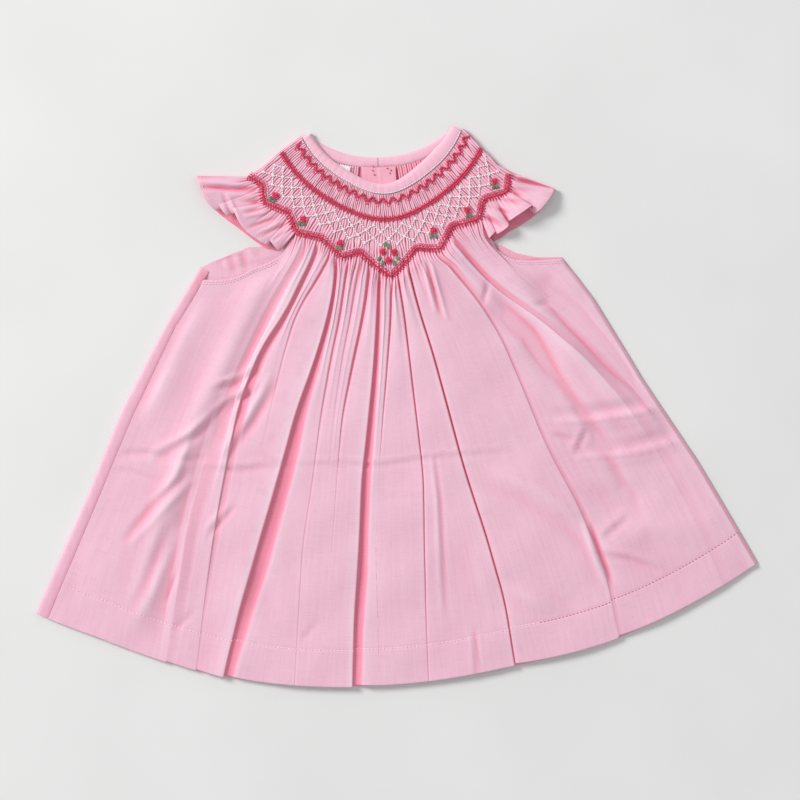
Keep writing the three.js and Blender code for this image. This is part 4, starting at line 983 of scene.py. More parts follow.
def back_piece(side):
    left = side == "left"
    cloth = Cloth(f"back_{side}_cloth")
    rng = np.random.default_rng(SEED + (3 if left else 4))
    seam_x, corner = BACK_SEAM[side]
    strip = PLACKET["left"] - 0.5 if left else PLACKET["right"] + 0.5
    centre = CENTRE_BACK + (-GAP if left else GAP) / 2
    count = round(abs(seam_x - strip) / BACK_PLEAT) * COLUMNS_PER_RIB
    under_strip = np.linspace(centre, strip, 5)[:-1]
    station_x = np.concatenate([under_strip, np.linspace(strip, seam_x, count + 1)])
    profile = np.concatenate([np.ones(len(under_strip)), pleat_profile(np.arange(count + 1))])
    smocked = len(station_x)
    top_x, top_y = below_back_band(station_x)
    way = unit(np.array([corner[0] - top_x[-1], corner[1] - top_y[-1]]))
    spread = np.abs((station_x - centre) / (seam_x - centre))
    down = np.linspace(0, BACK_SMOCKED, BACK_SMOCKED_ROWS)[:, None]
    bx, by = top_x + mix(0, way[0], spread) * down, top_y + mix(-1, way[1], spread) * down
    # The second of two rows of draws makes the pleats uneven.
    bz = BACK_FLOOR - 0.5 + (1 + 0.3 * rng.uniform(0, 1, (2, smocked))[1]) * profile
    # Painted shade in the grooves of the smocking.
    tint = 0.9 * (1 - profile) ** 1.4
    band = cloth.add(bx, by, bz, station_x * 2, by, tint)

    # The flat skirt below, as a fan about the skirt's centre: its upper edge is the smocking's
    # lower edge, the rest of the seam and the armhole.
    last_turns, last_reach = turn_of(APEX, bx[-1], by[-1]), reach_of(APEX, bx[-1], by[-1])
    corner_turn, corner_reach = turn_of(APEX, *corner), reach_of(APEX, *corner)
    seam_turns = np.linspace(last_turns[-1], corner_turn, 8)[1:-1]
    seam_reach = np.linspace(last_reach[-1], corner_reach, 8)[1:-1]
    edge_turn, edge_reach = polar_edge(BACK_ARMHOLE_LEFT[::-1] if left else BACK_ARMHOLE_RIGHT, 34)
    beyond = np.abs(edge_turn) > abs(corner_turn) + 0.2
    turns = np.concatenate([last_turns, seam_turns, [corner_turn], edge_turn[beyond]])
    reaches = np.concatenate([last_reach, seam_reach, [corner_reach], edge_reach[beyond]])
    share = np.linspace(0, 1, BACK_SKIRT_ROWS)[:, None] ** 1.5
    reach = mix(reaches, read(HEM, turns), share)
    down = reach - reaches
    flare = ease(0.7, 1, np.abs(turns / turns[-1]))
    side_fold = LEFT_FOLD if left else RIGHT_EDGE
    sx, sy = fan(APEX, turns + flare * (read(SIDES, reach, side_fold) - turns[-1]), reach)
    start_z = np.concatenate([bz, np.full(len(turns) - smocked, BACK_FLOOR)])
    sz = BACK_FLOOR + 0.18 * unevenness(sx, sy, 1.0, 60, SEED + 5)
    sz = np.clip(mix(sz, start_z, np.exp(-down / 6)), 0.15, 1.25)
    sz = np.clip(sz + 1.25 * press(sx, sy, BACK_CREASES) * ease(0.3, 4, down), 0.12, 1.3)
    # Painted shade in the skirt's hollows, and in the smocking's grooves fading down from it.
    painted_skirt_shade = 0.5 * hollows(sx, sy, sz, 2.0, 0.3)
    painted_skirt_shade[:, :smocked] = tint * np.exp(-down[:, :smocked] / 7)
    skirt = cloth.add(sx[1:], sy[1:], sz[1:], sx[1:] * WEAVE_STEP, reach[1:], painted_skirt_shade[1:])
    rest = cloth.add(sx[:1, smocked:], sy[:1, smocked:], sz[:1, smocked:])
    grid = np.concatenate([np.concatenate([band[-1:], rest], axis=1), skirt])
    cloth.join(band, flip=left)
    cloth.join(grid, flip=left)
    cloth.roll(grid[-1], grid[-2], thick=0.5, back=1.5, flip=left)
    arm = slice(smocked + len(seam_turns), None)
    cloth.roll(grid[0, arm], grid[1, arm], thick=0.6, flip=not left)
    if left:
        wrap_side(cloth, grid[:, -1])
    return cloth.build(COTTON if left else SHADED_COTTON)


# Sleeves: a smocked part that carries on from the front's, and a loose fluted cap. hem is the
# front's hem from the shoulder down to the front seam, each row with the turn that its line
# leaves the smocking at; it runs back under itself at each flute. under is the back's hem.
SLEEVES = {
    "left": dict(
        seam=SEAM_LEFT - 0.04, ribs=14, edge_x=-45.6,
        shoulder=[(63, -68.7), (98, -63.5), (111, -63.5)],
        hem=[
            (-63.5, -124.8, 172.9, 4.4), (-62.6, -124.8, 169.0, 6.4), (-61.8, -123.6, 163.8, 7.6),
            (-60.8, -121.8, 158.4, 8.0), (-59.6, -119.0, 153.4, 7.8), (-58.6, -115.8, 149.2, 6.8),
            (-57.8, -112.6, 146.8, 5.2), (-57.2, -110.4, 147.4, 4.2), (-56.6, -110.0, 150.6, 4.3),
            (-56.0, -110.6, 152.4, 6.0), (-55.2, -109.4, 148.2, 7.4), (-54.4, -107.0, 144.4, 7.4),
            (-53.6, -104.2, 142.4, 6.0), (-53.0, -102.6, 143.4, 4.4), (-52.4, -102.8, 147.2, 4.4),
            (-51.8, -101.6, 148.6, 7.2), (-51.0, -99.6, 144.6, 9.0), (-50.0, -97.8, 139.8, 9.4),
            (-48.6, -94.8, 134.4, 9.6), (-47.0, -90.8, 129.6, 9.2), (-45.4, -86.6, 126.0, 8.6),
            (-43.8, -82.0, 122.8, 8.0), (-42.4, -78.4, 120.6, 7.0), (-41.4, -76.4, 120.6, 4.8),
            (-40.6, -76.8, 123.8, 4.3), (-39.8, -77.0, 125.6, 6.0), (-38.8, -74.8, 122.2, 7.0),
            (-37.8, -72.4, 118.6, 6.8), (-36.9, -70.4, 116.2, 5.4), (-36.3, -69.6, 115.4, 4.2),
        ],
        under=[
            (-123.4, 166.4), (-120.4, 158.6), (-115.6, 149.6), (-110.0, 144.0), (-104.4, 139.2),
            (-98.0, 134.0), (-91.6, 128.4), (-84.6, 122.4), (-78.4, 117.8), (-72.6, 115.0),
        ],
    ),
    "right": dict(
        seam=SEAM_RIGHT + 0.04, ribs=10, edge_x=62.0,
        shoulder=[(63, 67.3), (79, 61.2), (96, 57.6), (107, 57.6)],
        hem=[
            (57.5, 129.2, 148.6, 4.8), (56.9, 128.4, 146.6, 6.6), (56.2, 127.2, 144.2, 6.6),
            (55.6, 126.0, 142.6, 7.6), (54.8, 123.6, 139.4, 8.8), (53.8, 119.8, 135.4, 8.8),
            (53.0, 115.6, 132.0, 7.4), (52.5, 112.4, 130.6, 5.2), (52.1, 111.6, 132.6, 4.6),
            (51.7, 113.4, 136.4, 6.6), (51.2, 112.8, 137.6, 10.2), (50.4, 109.4, 135.4, 12.2),
            (49.4, 105.6, 133.0, 12.6), (48.4, 101.8, 130.8, 12.2), (47.4, 98.6, 129.0, 11.2),
            (46.8, 96.4, 127.6, 8.6), (46.3, 94.4, 126.4, 5.4), (45.8, 94.0, 126.8, 4.5),
            (45.2, 95.4, 126.0, 6.6), (44.6, 95.2, 123.8, 9.0), (43.8, 92.8, 121.8, 9.6),
            (42.8, 89.8, 120.0, 9.2), (41.9, 87.0, 118.6, 7.4), (41.3, 85.4, 118.4, 4.8),
            (40.8, 85.6, 120.2, 4.4), (40.2, 85.8, 120.8, 6.4), (39.4, 83.8, 118.8, 7.0),
            (38.4, 81.6, 116.8, 6.6), (37.7, 80.4, 115.8, 5.2), (37.2, 80.0, 115.8, 4.4),
        ],
        under=[
            (127.0, 144.6), (122.6, 138.4), (117.2, 132.6), (111.6, 128.6), (105.6, 125.0),
            (100.0, 122.0), (94.6, 119.6), (90.4, 116.6), (87.0, 114.2),
        ],
    ),
}
SLEEVE_LEVEL = 4.3
SLEEVE_ROWS = 40
CAP_ROWS = 34
CAP_RAYS = 22
SLEEVE_BACK_COLUMNS = 26
SLEEVE_CREASES = {
    "left": [
        (1.5, 1.7, [(-124, 165), (-104, 162), (-84, 160.5)]),
        (-0.9, 1.5, [(-121, 168), (-100, 165), (-84, 163)]),
        (1.2, 1.4, [(-107, 158), (-101, 140)]), (-0.9, 1.3, [(-104, 157), (-97, 141)]),
        (-0.8, 1.6, [(-100, 157.4), (-78, 154.7)]), (0.9, 1.5, [(-99, 153), (-77, 151)]),
        (0.9, 1.3, [(-94, 144), (-76, 147)]), (-0.7, 1.3, [(-92, 141), (-74, 144)]),
        (1.0, 1.3, [(-88, 134), (-72, 139)]), (0.8, 1.2, [(-80, 127), (-66, 134)]),
        (-0.8, 1.3, [(-84, 129), (-70, 135)]), (0.8, 1.1, [(-75, 122), (-64, 129)]),
    ],
    "right": [
        (1.5, 1.7, [(128, 149.4), (115, 153), (100, 157)]),
        (-0.9, 1.5, [(124, 153), (112, 157), (100, 160)]),
        (1.4, 1.6, [(112, 137), (98, 141), (80, 145.2)]),
        (-0.9, 1.5, [(110, 141), (96, 145), (82, 148.6)]),
        (1.2, 1.5, [(94, 121.6), (86, 127), (77, 131.8)]),
        (-0.8, 1.3, [(93, 126), (85, 131), (78, 135)]),
        (0.8, 1.2, [(118, 146), (100, 150)]), (0.8, 1.2, [(101, 131), (82, 138)]),
    ],
}


# The back half of a sleeve, folded under at the shoulder. Its columns run from the fold to the
# back's seam, and its rows down the smocking and on down the loose part.
def sleeve_back(cloth, side, top, cap, loose_share):
    left = side == "left"
    sign = -1 if left else 1
    seam_x, corner = BACK_SEAM[side]
    top_x, top_y = below_back_band(seam_x)
    under_x, under_y = np.array(SLEEVES[side]["under"], float).T
    steps = run_length(under_x, under_y)
    fold_ids = np.concatenate([top[:, 0], cap[:, 0]])
    fold_x, fold_y, fold_z = cloth.place(fold_ids).T
    smocked, loose = len(top), len(cap)
    near_neck = np.concatenate([(1 - np.linspace(0, 1, smocked)) ** 2, np.zeros(loose)])
    cap_share = np.concatenate([np.zeros(smocked), loose_share])
    seam_share = np.concatenate([np.linspace(0.02, 0.74, smocked), np.linspace(0.75, 0.985, loose)])
    end_x = mix(top_x, corner[0], seam_share) + sign * 0.45
    end_y = mix(top_y, corner[1], seam_share) + 0.2
    columns = [fold_ids]
    for push, level in ((0.55, 0.75), (0.7, 0.45), (0.4, 0.15)):
        bend_x, bend_y = fold_x + sign * 0.9 * push, fold_y + 0.25 * push
        columns.append(cloth.add(bend_x, bend_y, mix(0.5, fold_z, level)))
    bend_columns = len(columns)
    for along in np.arange(SLEEVE_BACK_COLUMNS + 1) / SLEEVE_BACK_COLUMNS:
        x, y = mix(fold_x, end_x, along), mix(fold_y, end_y, along)
        if 0 < along < 1:
            band_x, band_y = below_back_band(mix(SLEEVES[side]["edge_x"], seam_x, along), 0.9)
            inner_x, inner_y = x[smocked - 1], y[smocked - 1]
            hem_x, hem_y = (np.interp(along * steps[-1], steps, line) for line in (under_x, under_y))
            x = np.where(cap_share > 0, mix(inner_x, hem_x, cap_share), mix(x, band_x, near_neck))
            y = np.where(cap_share > 0, mix(inner_y, hem_y, cap_share), mix(y, band_y, near_neck))
        z = BACK_FLOOR + 0.36 * np.sin(along * 30) * ease(0, 1, cap_share)
        # Painted shade over the whole back half, which lies under the front half, deeper down the loose
        # part.
        columns.append(cloth.add(x, y, np.clip(z, 0.1, 1.5), tint=0.4 + 0.16 * cap_share))
    back = np.stack(columns, axis=1)
    cloth.join(back, flip=left)
    cloth.roll(back[-1, bend_columns:], back[-2, bend_columns:], thick=0.5, flip=left)


def sleeve_piece(side):
    left = side == "left"
    spec = SLEEVES[side]
    seam_turn, edge_turn = spec["seam"], spec["shoulder"][-1][1]
    cloth = Cloth(f"sleeve_{side}_cloth")
    seed = SEED + (6 if left else 7)
    x, y, z, tint = smocking(edge_turn, seam_turn, spec["ribs"], SLEEVE_ROWS, seed)
    # The shoulder's edge leans in toward the neck: the outer pleats fan to follow it.
    reach, turn = reach_of(YOKE, x, y), turn_of(YOKE, x, y)
    outness = np.clip((turn - seam_turn) / (edge_turn - seam_turn), 0, 1.2)
    lean = (read(spec["shoulder"], reach) - edge_turn) * outness**1.5
    x, y = fan(YOKE, turn + lean, reach)
    columns = x.shape[1]
    index = np.arange(columns)
    across = index * WEAVE_STEP
    top = cloth.add(x, y, z, across, y, tint)
    cloth.join(top, flip=not left)

    # The cap: each column goes from the smocking to its own place on the hem.
    hem = np.array(spec["hem"], float)
    rising = 1 if left else -1
    key, at = rising * hem[:, 0], rising * mix(edge_turn, seam_turn, index / (columns - 1))
    soften = np.linspace(-0.35, 0.35, 5)
    hem_x, hem_y, hem_z = (
        sum(np.interp(np.clip(at + s, key[0], key[-1]), key, column) for s in soften) / len(soften)
        for column in hem.T[1:]
    )
    share = np.linspace(0, 1, CAP_ROWS)[1:, None]
    cx, cy = mix(x[-1], hem_x, share), mix(y[-1], hem_y, share)
    length = np.hypot(hem_x - x[-1], hem_y - y[-1])
    down = share * length
    profile = pleat_profile(index)
    pleated = np.exp(-down / 5)
    cz = mix(SLEEVE_LEVEL, hem_z, share**1.15) + (profile * RIB_HEIGHT - 0.8) * pleated
    rng = np.random.default_rng(seed + 20)
    for _ in range(CAP_RAYS):
        where = rng.uniform(0, columns)
        wide = rng.uniform(1.6, 3.6)
        size = rng.uniform(0.35, 0.9) * rng.choice([-1, 1])
        fading = np.exp(-down / rng.uniform(8, 26)) * ease(0, 4, down)
        cz += size * bell(index - where, wide) * fading
    free = ease(0, 8, down) * ease(0, 2.5, length - down)
    cz += (unevenness(cx, cy, 0.3, 16, seed + 30) + 1.35 * press(cx, cy, SLEEVE_CREASES[side])) * free
    # Painted shade in its pleats, where its flutes run low, and in its hollows.
    low = np.clip((6.2 - hem_z) / 2.2, 0, 1) * ease(0.25, 0.9, share)
    painted_hollow_shade = hollows(cx, cy, cz, 3.0, 0.8) * ease(0, 4, down)
    painted_cap_shade = np.maximum(0.95 * (1 - profile) * pleated, 0.75 * np.maximum(low, painted_hollow_shade))
    cap = cloth.add(cx, cy, cz, across, cy, painted_cap_shade)
    cloth.join(np.concatenate([top[-1:], cap]), flip=not left)
    cloth.roll(cap[-1], cap[-2], thick=0.6, back=2.2, flip=not left)
    sleeve_back(cloth, side, top, cap, share[:, 0])
    return cloth.build(COTTON), cloth.place(cap[-3])


# Neck binding: one bias strip, round the front on top and round the back beneath.
BINDING_WIDTH = [(-70, 6.6), (-35, 7.2), (0, 7.6), (25, 9.4), (45, 10), (68, 7.4)]
BINDING_LEVEL = 3.9
BINDING_ACROSS = np.array([0.0, 0.06, 0.16, 0.32, 0.5, 0.68, 0.84, 0.94, 1.0])
BINDING_PLUMP = np.array([-0.45, 0.35, 0.85, 1.1, 1.15, 1.1, 0.95, 0.5, 0.2])
BINDING_TURNS = (-66.8, 65.4)
SHOULDER_BENDS = (40, 65, 90, 115, 140)


def binding_piece():
    cloth = Cloth("neck_binding_cloth")
    columns = []

    def add(x, y, z, run):
        columns.append((x, y, z, np.full(len(BINDING_ACROSS), run)))

    def inner_reach(turn):
        return neck_reach(turn) - GAP - read(BINDING_WIDTH, turn) * (1 - BINDING_ACROSS)

    def back_run(x, run):
        bx, by = back_band(x, back_band_width(x) * BINDING_ACROSS)
        add(bx, by, 0.35 + 0.75 * (BINDING_PLUMP + 0.45) / 1.6, run)

    # From the back's level up to the front's, round the end of the shoulder.
    def shoulder(turn, sign, bends):
        reach = inner_reach(turn)
        middle, half = 2.7, 2.1
        for bend in bends:
            out = np.degrees(1.3 * math.sin(math.radians(bend)) / reach) * sign
            x, y = fan(YOKE, turn + out, reach)
            level = middle - half * math.cos(math.radians(bend))
            add(x, y, level + 0.3 * BINDING_PLUMP, turn * 1.2 + sign * bend * 0.02)

    left_turn, right_turn = BINDING_TURNS
    for x in np.linspace(CENTRE_BACK - 0.2, -43.6, 40):
        back_run(x, x - 120)
    shoulder(left_turn, -1, SHOULDER_BENDS)
    for turn in np.linspace(left_turn, right_turn, 150):
        x, y = fan(YOKE, turn, inner_reach(turn))
        add(x, y, BINDING_LEVEL + BINDING_PLUMP * (1 + 0.08 * math.sin(turn * 1.3)), turn * 1.2)
    shoulder(right_turn, 1, SHOULDER_BENDS[::-1])
    for x in np.linspace(60, CENTRE_BACK + 0.2, 40):
        back_run(x, x + 120)
    x, y, z, run = (np.array(part).T for part in zip(*columns))
    z = z + 0.05 * unevenness(run, x, 1.0, 9, SEED + 9)
    ids = cloth.add(x, y, np.maximum(z, 0.05), run, BINDING_ACROSS[:, None] * 8)
    cloth.join(ids)
    cloth.roll(ids[0], ids[1], thick=0.8, back=3.0, flip=True)
    cloth.roll(ids[-1], ids[-2], thick=0.3, back=0.2)
    return cloth.build(BINDING)


def placket_piece():
    cloth = Cloth("placket_cloth")
    x = np.linspace(PLACKET["left"], PLACKET["right"], 30)
    _, top = below_back_band(x)
    y = mix(top, PLACKET["lowest"], np.linspace(0, 1, 60)[:, None])
    x = x + 0 * y
    overlap = ease(CENTRE_BACK - 0.6, CENTRE_BACK + 0.6, x)
    z = 2.1 + unevenness(x, y, 0.18, 16, SEED + 10) + 0.35 * overlap
    ids = cloth.add(x, y, np.clip(z, 1.65, 2.6))
    cloth.join(ids)
    cloth.roll(ids[:, 0], ids[:, 1], thick=0.3)
    cloth.roll(ids[:, -1], ids[:, -2], thick=0.3, flip=True)
    return cloth.build(SHADED_COTTON)


LABEL_PLACE = dict(right=-15.6, top=172.6, wide=18.0, high=10.0, tilt=-14.0)


def label_piece():
    cloth = Cloth("label_tape")
    tilt = math.radians(LABEL_PLACE["tilt"])
    u = np.linspace(-LABEL_PLACE["wide"], 0, 19)
    v = np.linspace(0, -LABEL_PLACE["high"], 11)[:, None]
    x = LABEL_PLACE["right"] + u * math.cos(tilt) - v * math.sin(tilt)
    y = LABEL_PLACE["top"] + u * math.sin(tilt) + v * math.cos(tilt)
    ids = cloth.add(x, y, 2.45 + 0.12 * np.sin(u * 0.7) + 0.05 * np.cos(v))
    cloth.join(ids)
    cloth.roll(ids[0], ids[1], thick=0.2, back=1.0, flip=True)
    cloth.roll(ids[:, -1], ids[:, -2], thick=0.2, back=1.0, flip=True)
    return cloth.build(LABEL)


# Embroidery on the smocking. The last two numbers of a stitch are its radius and its arch.
def on_yoke(turn, reach, level=THREAD_LEVEL):
    x, y = fan(YOKE, turn, reach)
    return np.array([x, y, level])


SHOULDER_LEFT = SLEEVES["left"]["shoulder"]
SHOULDER_RIGHT = SLEEVES["right"]["shoulder"]


def within(turn, reach, margin=0.6):
    return read(SHOULDER_LEFT, reach) + margin < turn < read(SHOULDER_RIGHT, reach) - margin


# The wave under the neck: stepped stitches up and down, and a lighter row below.
def wave_rows():
    dark, light = [], []
    period, legs, high = 5.8, 3, 2.3
    turn = -66.0
    while turn < 65:
        for leg in range(2 * legs):
            t0, t1 = (turn + period * (k / (2 * legs)) for k in (leg, leg + 1))
            rise0, rise1 = (high * (1 - 2 * abs(k / legs - 1)) for k in (leg, leg + 1))
            r0, r1 = neck_reach(t0) + WAVE_DOWN + rise0, neck_reach(t1) + WAVE_DOWN + rise1
            if not within((t0 + t1) / 2, r0, 0.8):
                continue
            grow = 0.25 * (t1 - t0)
            slope = 0.1 * (r1 - r0)
            dark.append((on_yoke(t0 - grow, r0 + slope), on_yoke(t1 + grow, r1 - slope), 0.76, 0.5))
            low, next_low = (on_yoke(t, r + high, THREAD_LEVEL - 0.35) for t, r in ((t0, r0), (t1, r1)))
            light.append((low, next_low, 0.44, 0.4))
        turn += period
    return dark, light


# The cable: two close rows of slanted stitches, with a barb at each pleat.
def cable_rows():
    rows = []
    turn = -65.0
    step = 1.02
    flip = 1
    while turn < 61:
        reach = neck_reach(turn) + CABLE_DOWN
        if within(turn, reach, 0.3):
            for offset in (-0.75, 0.75):
                slant = 0.32 * flip
                start = on_yoke(turn - 0.72 * step, reach + offset - slant)
                rows.append((start, on_yoke(turn + 0.72 * step, reach + offset + slant), 0.62, 0.55))
            tip = reach + flip * 2.5
            rows.append((on_yoke(turn, reach + flip * 0.9), on_yoke(turn + 0.25 * flip, tip), 0.42, 0.25))
        flip = -flip
        turn += step
    return rows


# The white trellis: three zigzags that make two rows of diamonds, clear of the border.
def trellis_rows():
    rows = []
    legs = 4
    clear = 5.2
    for k, vertex in trellis_turns(-66, 60):
        after = vertex + TRELLIS_TURN / 2
        for level in range(3):
            upper, lower = TRELLIS[level], TRELLIS[level + 1]
            a, b = (upper, lower) if (level + k) % 2 == 0 else (lower, upper)
            ra = neck_reach(vertex) + a
            rb = neck_reach(after) + b
            if not (within(vertex, ra) and within(after, rb)):
                continue
            if max(ra, rb) > border_reach((vertex + after) / 2) - clear:
                continue
            for leg in range(legs):
                middle = (leg + 0.5) / legs
                along, down = 0.46 / legs, 0.3 / legs
                start = on_yoke(mix(vertex, after, middle - along), mix(ra, rb, middle - down))
                end = on_yoke(mix(vertex, after, middle + along), mix(ra, rb, middle + down))
                rows.append((start, end, 0.46, 0.5))
        for level in range(4):
            if (level + k) % 2 == 0:
                reach = neck_reach(vertex) + TRELLIS[level]
                if within(vertex, reach) and reach < border_reach(vertex) - clear:
                    for offset in (-0.5, 0.5):
                        start = on_yoke(vertex - 0.5, reach + offset)
                        rows.append((start, on_yoke(vertex + 0.5, reach + offset), 0.46, 0.5))
    return rows


# The border: rows of slanted stitches along the points and notches of the lower edge.
def border_path(inset):
    turns = np.linspace(-63.2, 57.3, 900)
    x, y = fan(YOKE, turns, border_reach(turns))
    along_x, along_y = unit(np.stack([np.gradient(x), np.gradient(y)], axis=1)).T
    smooth = np.full(15, 1 / 15)
    px, py = x - blurred(along_y, smooth) * inset, y + blurred(along_x, smooth) * inset
    return np.stack([px, py, np.full_like(px, THREAD_LEVEL)], axis=1)


# Each row's distance from the edge, its spacing, the thread's radius, the slant of its
# stitches and the length of the barb at each.
BORDER_ROWS = [(1.0, 1.9, 0.74, 0.75, 2.7), (2.9, 1.7, 0.46, -0.5, 0), (4.4, 1.7, 0.4, 0.5, 0)]


def border_rows(inset, spacing, radius, slant, barb):
    rows = []
    points = along_path(border_path(inset), spacing)
    for k, (a, b) in enumerate(zip(points, points[1:])):
        forward = unit(b - a)
        inward = left_of(forward)
        swing = inward * slant * (1 if k % 2 else 0.6)
        rows.append((a - forward * 0.15 + swing, b + forward * 0.15 - swing, radius, 0.45))
        if barb:
            tip = a - inward * (barb + 0.5) + forward * 0.5 - (0, 0, 0.5)
            rows.append((a - inward * 0.3, tip, 0.5, 0.2))
    return rows


# Bullion rosebuds with leaves, by the place of each.
ROSES = [(-70, 155, 2.6), (-51, 137, 2.6), (-26, 118.3, 2.6), (4.2, 110.4, 2.5), (12.2, 109.6, 2.5),
         (8, 104.0, 2.6), (41.3, 123.6, 2.5), (66.4, 136.5, 2.6), (86.9, 155.9, 2.4)]
LEAVES = [
    (-74.0, 152.6, 65), (-71.6, 151.4, 20), (-54.2, 134.2, 50), (-51.6, 133.4, 5), (-28.8, 115.2, 60),
    (-26.0, 114.6, 5), (8.2, 114.2, 90), (6.4, 115.6, 130), (1.2, 105.6, 40), (3.6, 102.0, 70),
    (14.8, 105.0, 140), (12.4, 101.4, 110), (39.4, 119.6, 70), (42.6, 119.4, 120), (68.6, 132.6, 130),
    (66.0, 132.4, 80), (88.6, 152.2, 125), (86.0, 152.0, 70),
]


# Each ring of a rosebud: how many stitches it has, how far out they lie and half how long they
# are, as shares of its size, and their lift, radius and arch.
ROSE_RINGS = [(3, 0.3, 0.45, 0.9, 0.72, 0.5), (6, 0.78, 0.62, 0.4, 0.66, 0.35)]


def rose_rows():
    dark, light = [], []
    for x, y, size in ROSES:
        for ring, (count, away, half, lift, radius, arch) in enumerate(ROSE_RINGS):
            for k in range(count):
                out = heading(360 / count * k + (31 * y if ring else 20 * x))
                centre = np.array([x, y, THREAD_LEVEL + lift]) + away * size * out
                way = left_of(out) * size * half
                target = light if ring and k % 2 else dark
                target.append((centre - way, centre + way, radius, arch))
    return dark, light


def leaf_rows():
    rows = []
    for x, y, angle in LEAVES:
        centre = np.array([x, y, THREAD_LEVEL + 0.2])
        way = heading(angle)
        for offset in (-0.45, 0.45):
            side = left_of(way) * offset
            rows.append((centre - way * 2 + side * 0.5, centre + way * 2 + side * 1.3, 0.74, 0.5))
    return rows


# The wrong side of a few coloured stitches, on the placket: the place and way of each.
PLACKET_STITCHES = [
    (11, 170, 40), (12.6, 166.4, 110), (13.4, 168.4, 70), (1, 172, 80), (1.4, 166, 30), (0.4, 169, 120),
]


def placket_rows():
    rows = []
    for x, y, angle in PLACKET_STITCHES:
        centre = np.array([x, y, 2.75])
        half = heading(angle) * 0.7
        rows.append((centre - half, centre + half, 0.36, 0.25))
    return rows


front, surface, to_hem, armholes = front_piece()
back_left = back_piece("left")
back_right = back_piece("right")
sleeve_left, hem_left = sleeve_piece("left")
sleeve_right, hem_right = sleeve_piece("right")
binding = binding_piece()
placket = placket_piece()
label = label_piece()

wave_dark, wave_light = wave_rows()
border_outer, border_inner, border_pale = (border_rows(*row) for row in BORDER_ROWS)
rose_dark, rose_light = rose_rows()
pieces = [
    stitches("wave_stitches", wave_dark, CRIMSON),
    stitches("wave_light_stitches", wave_light, ROSE_PINK),
    stitches("cable_stitches", cable_rows(), CRIMSON),
    stitches("trellis_stitches", trellis_rows(), WHITE),
    stitches("border_stitches", border_outer, CRIMSON),
    stitches("border_inner_stitches", border_inner, ROSE_PINK),
    stitches("border_pale_stitches", border_pale, PALE_PINK),
    stitches("rosebuds_dark", rose_dark, CRIMSON),
    stitches("rosebuds_light", rose_light, ROSE_PINK),
    stitches("rosebud_leaves", leaf_rows(), GREEN),
    stitches("placket_stitches", placket_rows(), CRIMSON),
]

# Machine stitching: hem, the binding's top stitch, sleeve hems and armholes. The stitches on the
# hem's right end get a darker copy of the sewing thread: painted shade.
hem_path = surface[int(np.argmin(np.abs(to_hem[:, 0] - HEM_DEPTH)))]
split = int(surface.shape[1] * 0.62)
pieces.append(stitches("hem_stitches", seam_run(hem_path[:split]), SEWING))
pieces.append(stitches("hem_stitches_right", seam_run(hem_path[split:]), PAINTED_SHADE_SEWING))
turns = np.linspace(-66, 65, 300)
tx, ty = fan(YOKE, turns, neck_reach(turns) - GAP - 0.9)
top_stitch = np.stack([tx, ty, np.full_like(tx, BINDING_LEVEL + 0.62)], axis=1)
pieces.append(stitches("binding_stitches", seam_run(top_stitch, 1.9, 2.1, 0.34, 0.5), WHITE))
for name, line in (("left", hem_left), ("right", hem_right)):
    pieces.append(stitches(f"sleeve_{name}_stitches", seam_run(line, 1.5, 2.4, 0.16, 0.1), SEWING))
for name, arm in zip(("left", "right"), armholes):
    rows = seam_run(surface[2, arm], 1.5, 2.3, 0.2) + seam_run(surface[4, arm], 1.5, 2.3, 0.2)
    pieces.append(stitches(f"armhole_{name}_stitches", rows, SEWING))

for piece in pieces:
    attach(piece, "root")

# Each cloth with its node, its slot, the width and length that it was cut to and the cut's
# area, in metres, what it lies on, and the starts of the names of the stitches on it.
BACKS = ["back_left_cloth", "back_right_cloth"]
CLOTHS = [
    (front, "front", "pink_cotton", (0.56, 0.40), 0.175, BACKS,
     ("wave", "cable", "trellis", "border", "rosebud", "hem", "armhole")),
    (back_left, "back_left", "pink_cotton", (0.30, 0.39), 0.0785, ["floor"], ()),
    (back_right, "back_right", "pink_cotton", (0.27, 0.39), 0.070, ["floor"], ()),
    (sleeve_left, "sleeve_left", "pink_cotton", (0.20, 0.075), 0.0135, ["back_left_cloth"],
     ("sleeve_left",)),
    (sleeve_right, "sleeve_right", "pink_cotton", (0.17, 0.07), 0.0102, ["back_right_cloth"],
     ("sleeve_right",)),
    (binding, "neck_binding", "binding_cotton", (0.0115, 0.30), 0.0034, BACKS, ("binding",)),
    (placket, "back_placket", "pink_cotton", (0.026, 0.073), 0.0018, BACKS, ()),
    (label, "neck_label", "label_white", (0.0205, 0.0125), 0.00025, ["back_left_cloth"], ()),
]
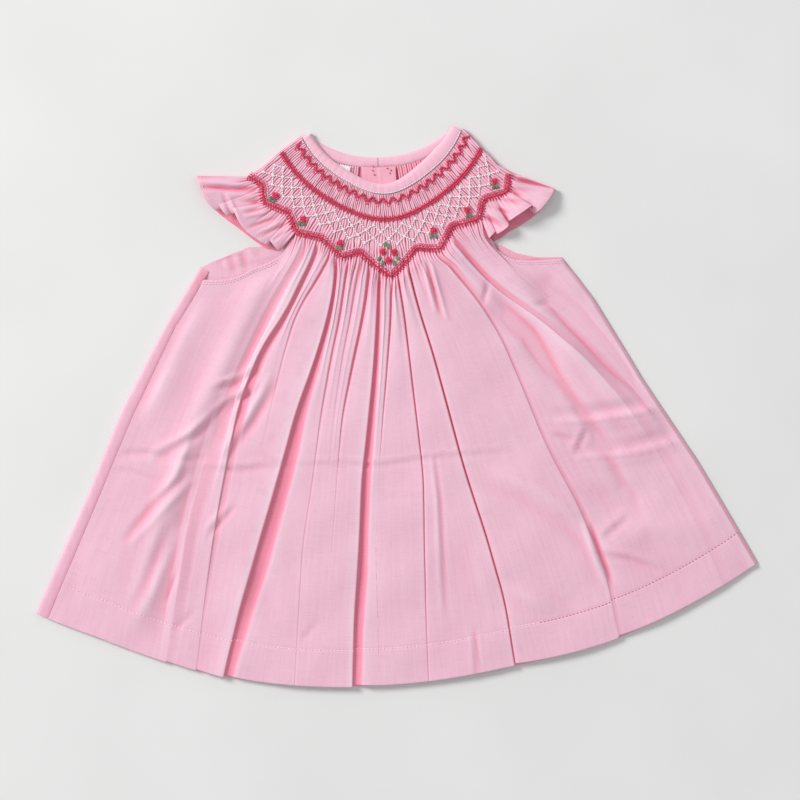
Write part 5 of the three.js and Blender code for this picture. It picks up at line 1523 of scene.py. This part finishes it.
for piece, node, slot, flat, area, under, starts in CLOTHS:
    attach(piece, "root")
    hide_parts(node)


# Floor, light and camera.
def floor_material():
    material, shader = principled("pale_floor", 0.9, specular=0.1)
    nodes = Nodes(material)
    soft = nodes.noise(nodes.new("ShaderNodeTexCoord").outputs["Object"], (8, 8, 8))
    colour = nodes.ramp(soft, [(0.3, srgb(233, 233, 232)), (0.7, srgb(238, 238, 237))])
    nodes.feed(shader.inputs["Base Color"], colour)
    return material


bpy.ops.mesh.primitive_plane_add(size=8)
floor = bpy.context.object
floor.name = "floor"
floor.data.materials.append(floor_material())

# The camera looks straight down from far off, turned a little. Sizes in millimetres.
CAMERA_TURN = 3.4
CAMERA_AT = (10.15, 3.85)
PICTURE_WIDTH = 572.8
CAMERA_HEIGHT = 2600.0
SENSOR = 36
camera_data = bpy.data.cameras.new("camera")
camera_data.sensor_width = SENSOR
camera_data.lens = SENSOR * (CAMERA_HEIGHT - FRONT_FLOOR) / PICTURE_WIDTH
camera_data.clip_end = 20
camera = put("camera", camera_data)
camera.location = (CAMERA_AT[0] * MM, CAMERA_AT[1] * MM, CAMERA_HEIGHT * MM)
camera.rotation_euler = (0, 0, -math.radians(CAMERA_TURN))
bpy.context.scene.camera = camera

# A round lamp that faces the dress from beyond its top left. Sizes in metres.
KEY_AT = (-3.3, 2.2, 2.75)
key_data = bpy.data.lights.new("key", "AREA")
key_data.shape = "DISK"
key_data.size = 1.7
key_data.energy = 172
key_data.color = (1.0, 0.99, 0.975)
key = put("key", key_data)
key.location = KEY_AT
away = math.hypot(KEY_AT[0], KEY_AT[1])
key.rotation_euler = (0, math.atan2(away, KEY_AT[2]), math.atan2(-KEY_AT[1], -KEY_AT[0]) + math.pi)

world = bpy.data.worlds.new("studio")
world.use_nodes = True
world.node_tree.nodes["Background"].inputs["Color"].default_value = (0.97, 0.98, 1.0, 1)
world.node_tree.nodes["Background"].inputs["Strength"].default_value = 0.545
bpy.context.scene.world = world
bpy.context.scene.view_settings.view_transform = "Standard"
bpy.context.scene.view_settings.look = "None"
